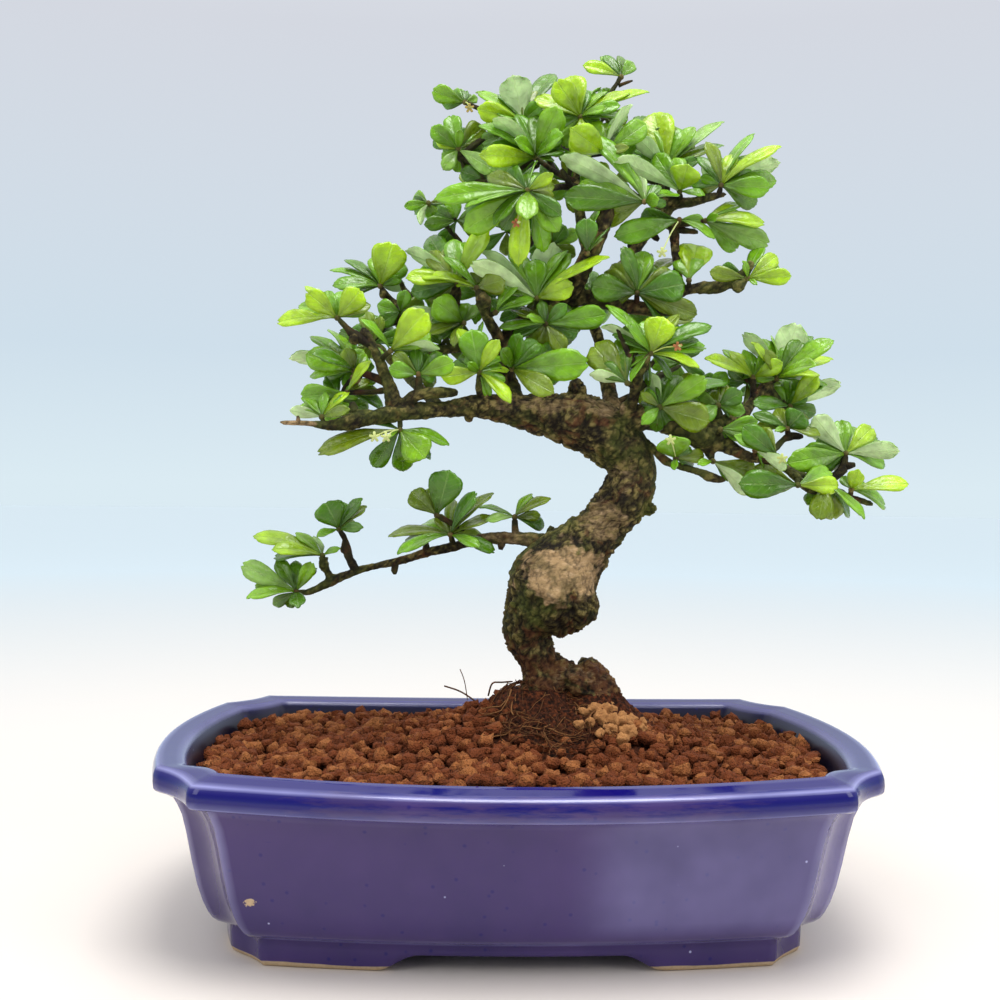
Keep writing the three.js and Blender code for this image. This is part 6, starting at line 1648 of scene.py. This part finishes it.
class BONSAI_OT_flowers(bpy.types.Operator):
    """Hangs the small flowers and dried calyxes between the leaves, each on a thin stalk"""
    bl_idname = "bonsai.flowers"
    bl_label = "Flowers"

    def execute(self, context):
        bm = bmesh.new()
        dryness = bm.verts.layers.float.new("dryness")
        buds = [tuft[0] for tufts in SPRAYS for tuft in tufts]
        for x, z, dry in FLOWERS:
            bud = min(buds, key=lambda b: (b[0] - x) ** 2 + (b[1] - z) ** 2)
            before = len(bm.verts)
            heart = place((x, z, bud[2] - 9))
            bend = ((x + bud[0]) / 2, (z + bud[1]) / 2 + 1, bud[2] - 4, 0.3)
            stalk = ((*bud, 0.35), bend, (x, z, bud[2] - 9, 0.35))
            tube(bm, rounded_path(stalk, 1.5), 6)
            for vert in list(bm.verts)[before:]:
                vert[dryness] = 0.3 * dry
            before = len(bm.verts)
            sight = (heart - EYE).normalized()
            right = sight.cross(Vector((0, 0, 1))).normalized()
            rise = right.cross(sight)
            reach, curl = mix(2.3, 1.9, dry), mix(-0.5, 1.0, dry)
            for step in range(5):
                angle = 2 * math.pi * (step + 0.3) / 5
                out = right * math.cos(angle) + rise * math.sin(angle)
                beside = rise * math.cos(angle) - right * math.sin(angle)
                for vert, column, row in sheet(bm, 2, 4):
                    share = row / 4
                    half = (0.25 + 0.35 * math.sin(math.pi * share * 0.85)) * (column - 1)
                    depth = curl * share * share + 0.25 * (column - 1) ** 2
                    vert.co = heart + out * reach * share + beside * half - sight * (0.4 + depth)
            bmesh.ops.create_icosphere(bm, subdivisions=2, radius=0.8, matrix=Matrix.Translation(heart))
            for vert in list(bm.verts)[before:]:
                vert[dryness] = dry
        smooth_faces(bm)
        finish_piece("flowers", bm, [petals()], (), (("SOLIDIFY", {"thickness": 0.00015}),))
        return {"FINISHED"}


class BONSAI_OT_screens(bpy.types.Operator):
    """Gives the two drain screens their moulded mesh finish"""
    bl_idname = "bonsai.screens"
    bl_label = "Drain screens"

    def execute(self, context):
        material = moulded_mesh()
        for name in ("drain_screen_left", "drain_screen_right"):
            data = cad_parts[name].data
            data.materials.clear()
            data.materials.append(material)
        return {"FINISHED"}


class BONSAI_OT_stage(bpy.types.Operator):
    """Sets the pale table, the backdrop, the soft lights and the camera"""
    bl_idname = "bonsai.stage"
    bl_label = "Stage"

    def execute(self, context):
        settings = context.scene.bonsai_stage
        scene = context.scene
        bm = bmesh.new()
        bmesh.ops.create_circle(bm, cap_ends=True, segments=96, radius=9.0)
        table = new_object("table_top", bm)
        table.data.materials.append(painted_table(settings))
        scene.world = studio_sky(settings)
        scene.view_settings.view_transform = "Standard"
        lamps = (
            ("overhead", (0.1, -0.3, 1.3), (0.0, 0.0, 0.1), 0.6, 0.6, 11.0),
            ("left_softbox", (-1.1, -0.9, 0.8), (0.0, 0.0, 0.15), 0.7, 1.0, 5.0),
            ("right_softbox", (1.2, -0.8, 0.9), (0.0, 0.0, 0.15), 0.7, 1.0, 6.0),
        )
        for name, at, aim, wide, high, power in lamps:
            light = bpy.data.lights.new(name, "AREA")
            light.shape, light.size, light.size_y, light.energy = "RECTANGLE", wide, high, power
            lamp = bpy.data.objects.new(name, light)
            lamp.location = at
            lamp.rotation_euler = (Vector(aim) - Vector(at)).to_track_quat("-Z", "Y").to_euler()
            scene.collection.objects.link(lamp)
        camera = bpy.data.cameras.new("camera")
        camera.lens, camera.sensor_width, camera.clip_start = EYE_LENS, 36.0, 0.01
        holder = bpy.data.objects.new("camera", camera)
        yaw, pitch, roll = EYE_TURN
        turn = Matrix.Rotation(yaw, 3, "Z") @ Matrix.Rotation(pitch, 3, "X") @ Matrix.Rotation(roll, 3, "Y")
        axes = Matrix((turn.col[0], turn.col[2], -turn.col[1])).transposed()
        holder.matrix_world = Matrix.Translation(EYE * MM + POT_MIDDLE) @ axes.to_4x4()
        scene.collection.objects.link(holder)
        scene.camera = holder
        return {"FINISHED"}


class BONSAI_PT_panel(bpy.types.Panel):
    """Lists the bonsai's pieces and their sizes and colours"""
    bl_idname = "BONSAI_PT_panel"
    bl_label = "Fukien Tea Bonsai"
    bl_space_type = "VIEW_3D"
    bl_region_type = "UI"
    bl_category = "Bonsai"

    def draw(self, context):
        for operator in OPERATORS:
            self.layout.operator(operator.bl_idname)
        for name, settings in SETTINGS:
            box = self.layout.box()
            for key in settings.__annotations__:
                box.prop(getattr(context.scene, name), key)


SETTINGS = (
    ("bonsai_pot", BonsaiPotSettings), ("bonsai_soil", BonsaiSoilSettings),
    ("bonsai_wood", BonsaiWoodSettings), ("bonsai_leaves", BonsaiLeafSettings),
    ("bonsai_stage", BonsaiStageSettings),
)
OPERATORS = (
    BONSAI_OT_pot, BONSAI_OT_screens, BONSAI_OT_soil, BONSAI_OT_roots, BONSAI_OT_wood, BONSAI_OT_leaves,
    BONSAI_OT_flowers, BONSAI_OT_stage,
)


def register():
    for name, settings in SETTINGS:
        bpy.utils.register_class(settings)
        setattr(bpy.types.Scene, name, bpy.props.PointerProperty(type=settings))
    for kind in OPERATORS + (BONSAI_PT_panel,):
        bpy.utils.register_class(kind)


def unregister():
    for kind in reversed(OPERATORS + (BONSAI_PT_panel,)):
        bpy.utils.unregister_class(kind)
    for name, settings in reversed(SETTINGS):
        delattr(bpy.types.Scene, name)
        bpy.utils.unregister_class(settings)


def main():
    register()
    bpy.ops.bonsai.pot()
    bpy.ops.bonsai.screens()
    bpy.ops.bonsai.soil()
    bpy.ops.bonsai.roots()
    bpy.ops.bonsai.wood()
    bpy.ops.bonsai.leaves()
    bpy.ops.bonsai.flowers()
    bpy.ops.bonsai.stage()


if __name__ == "__main__":
    main()
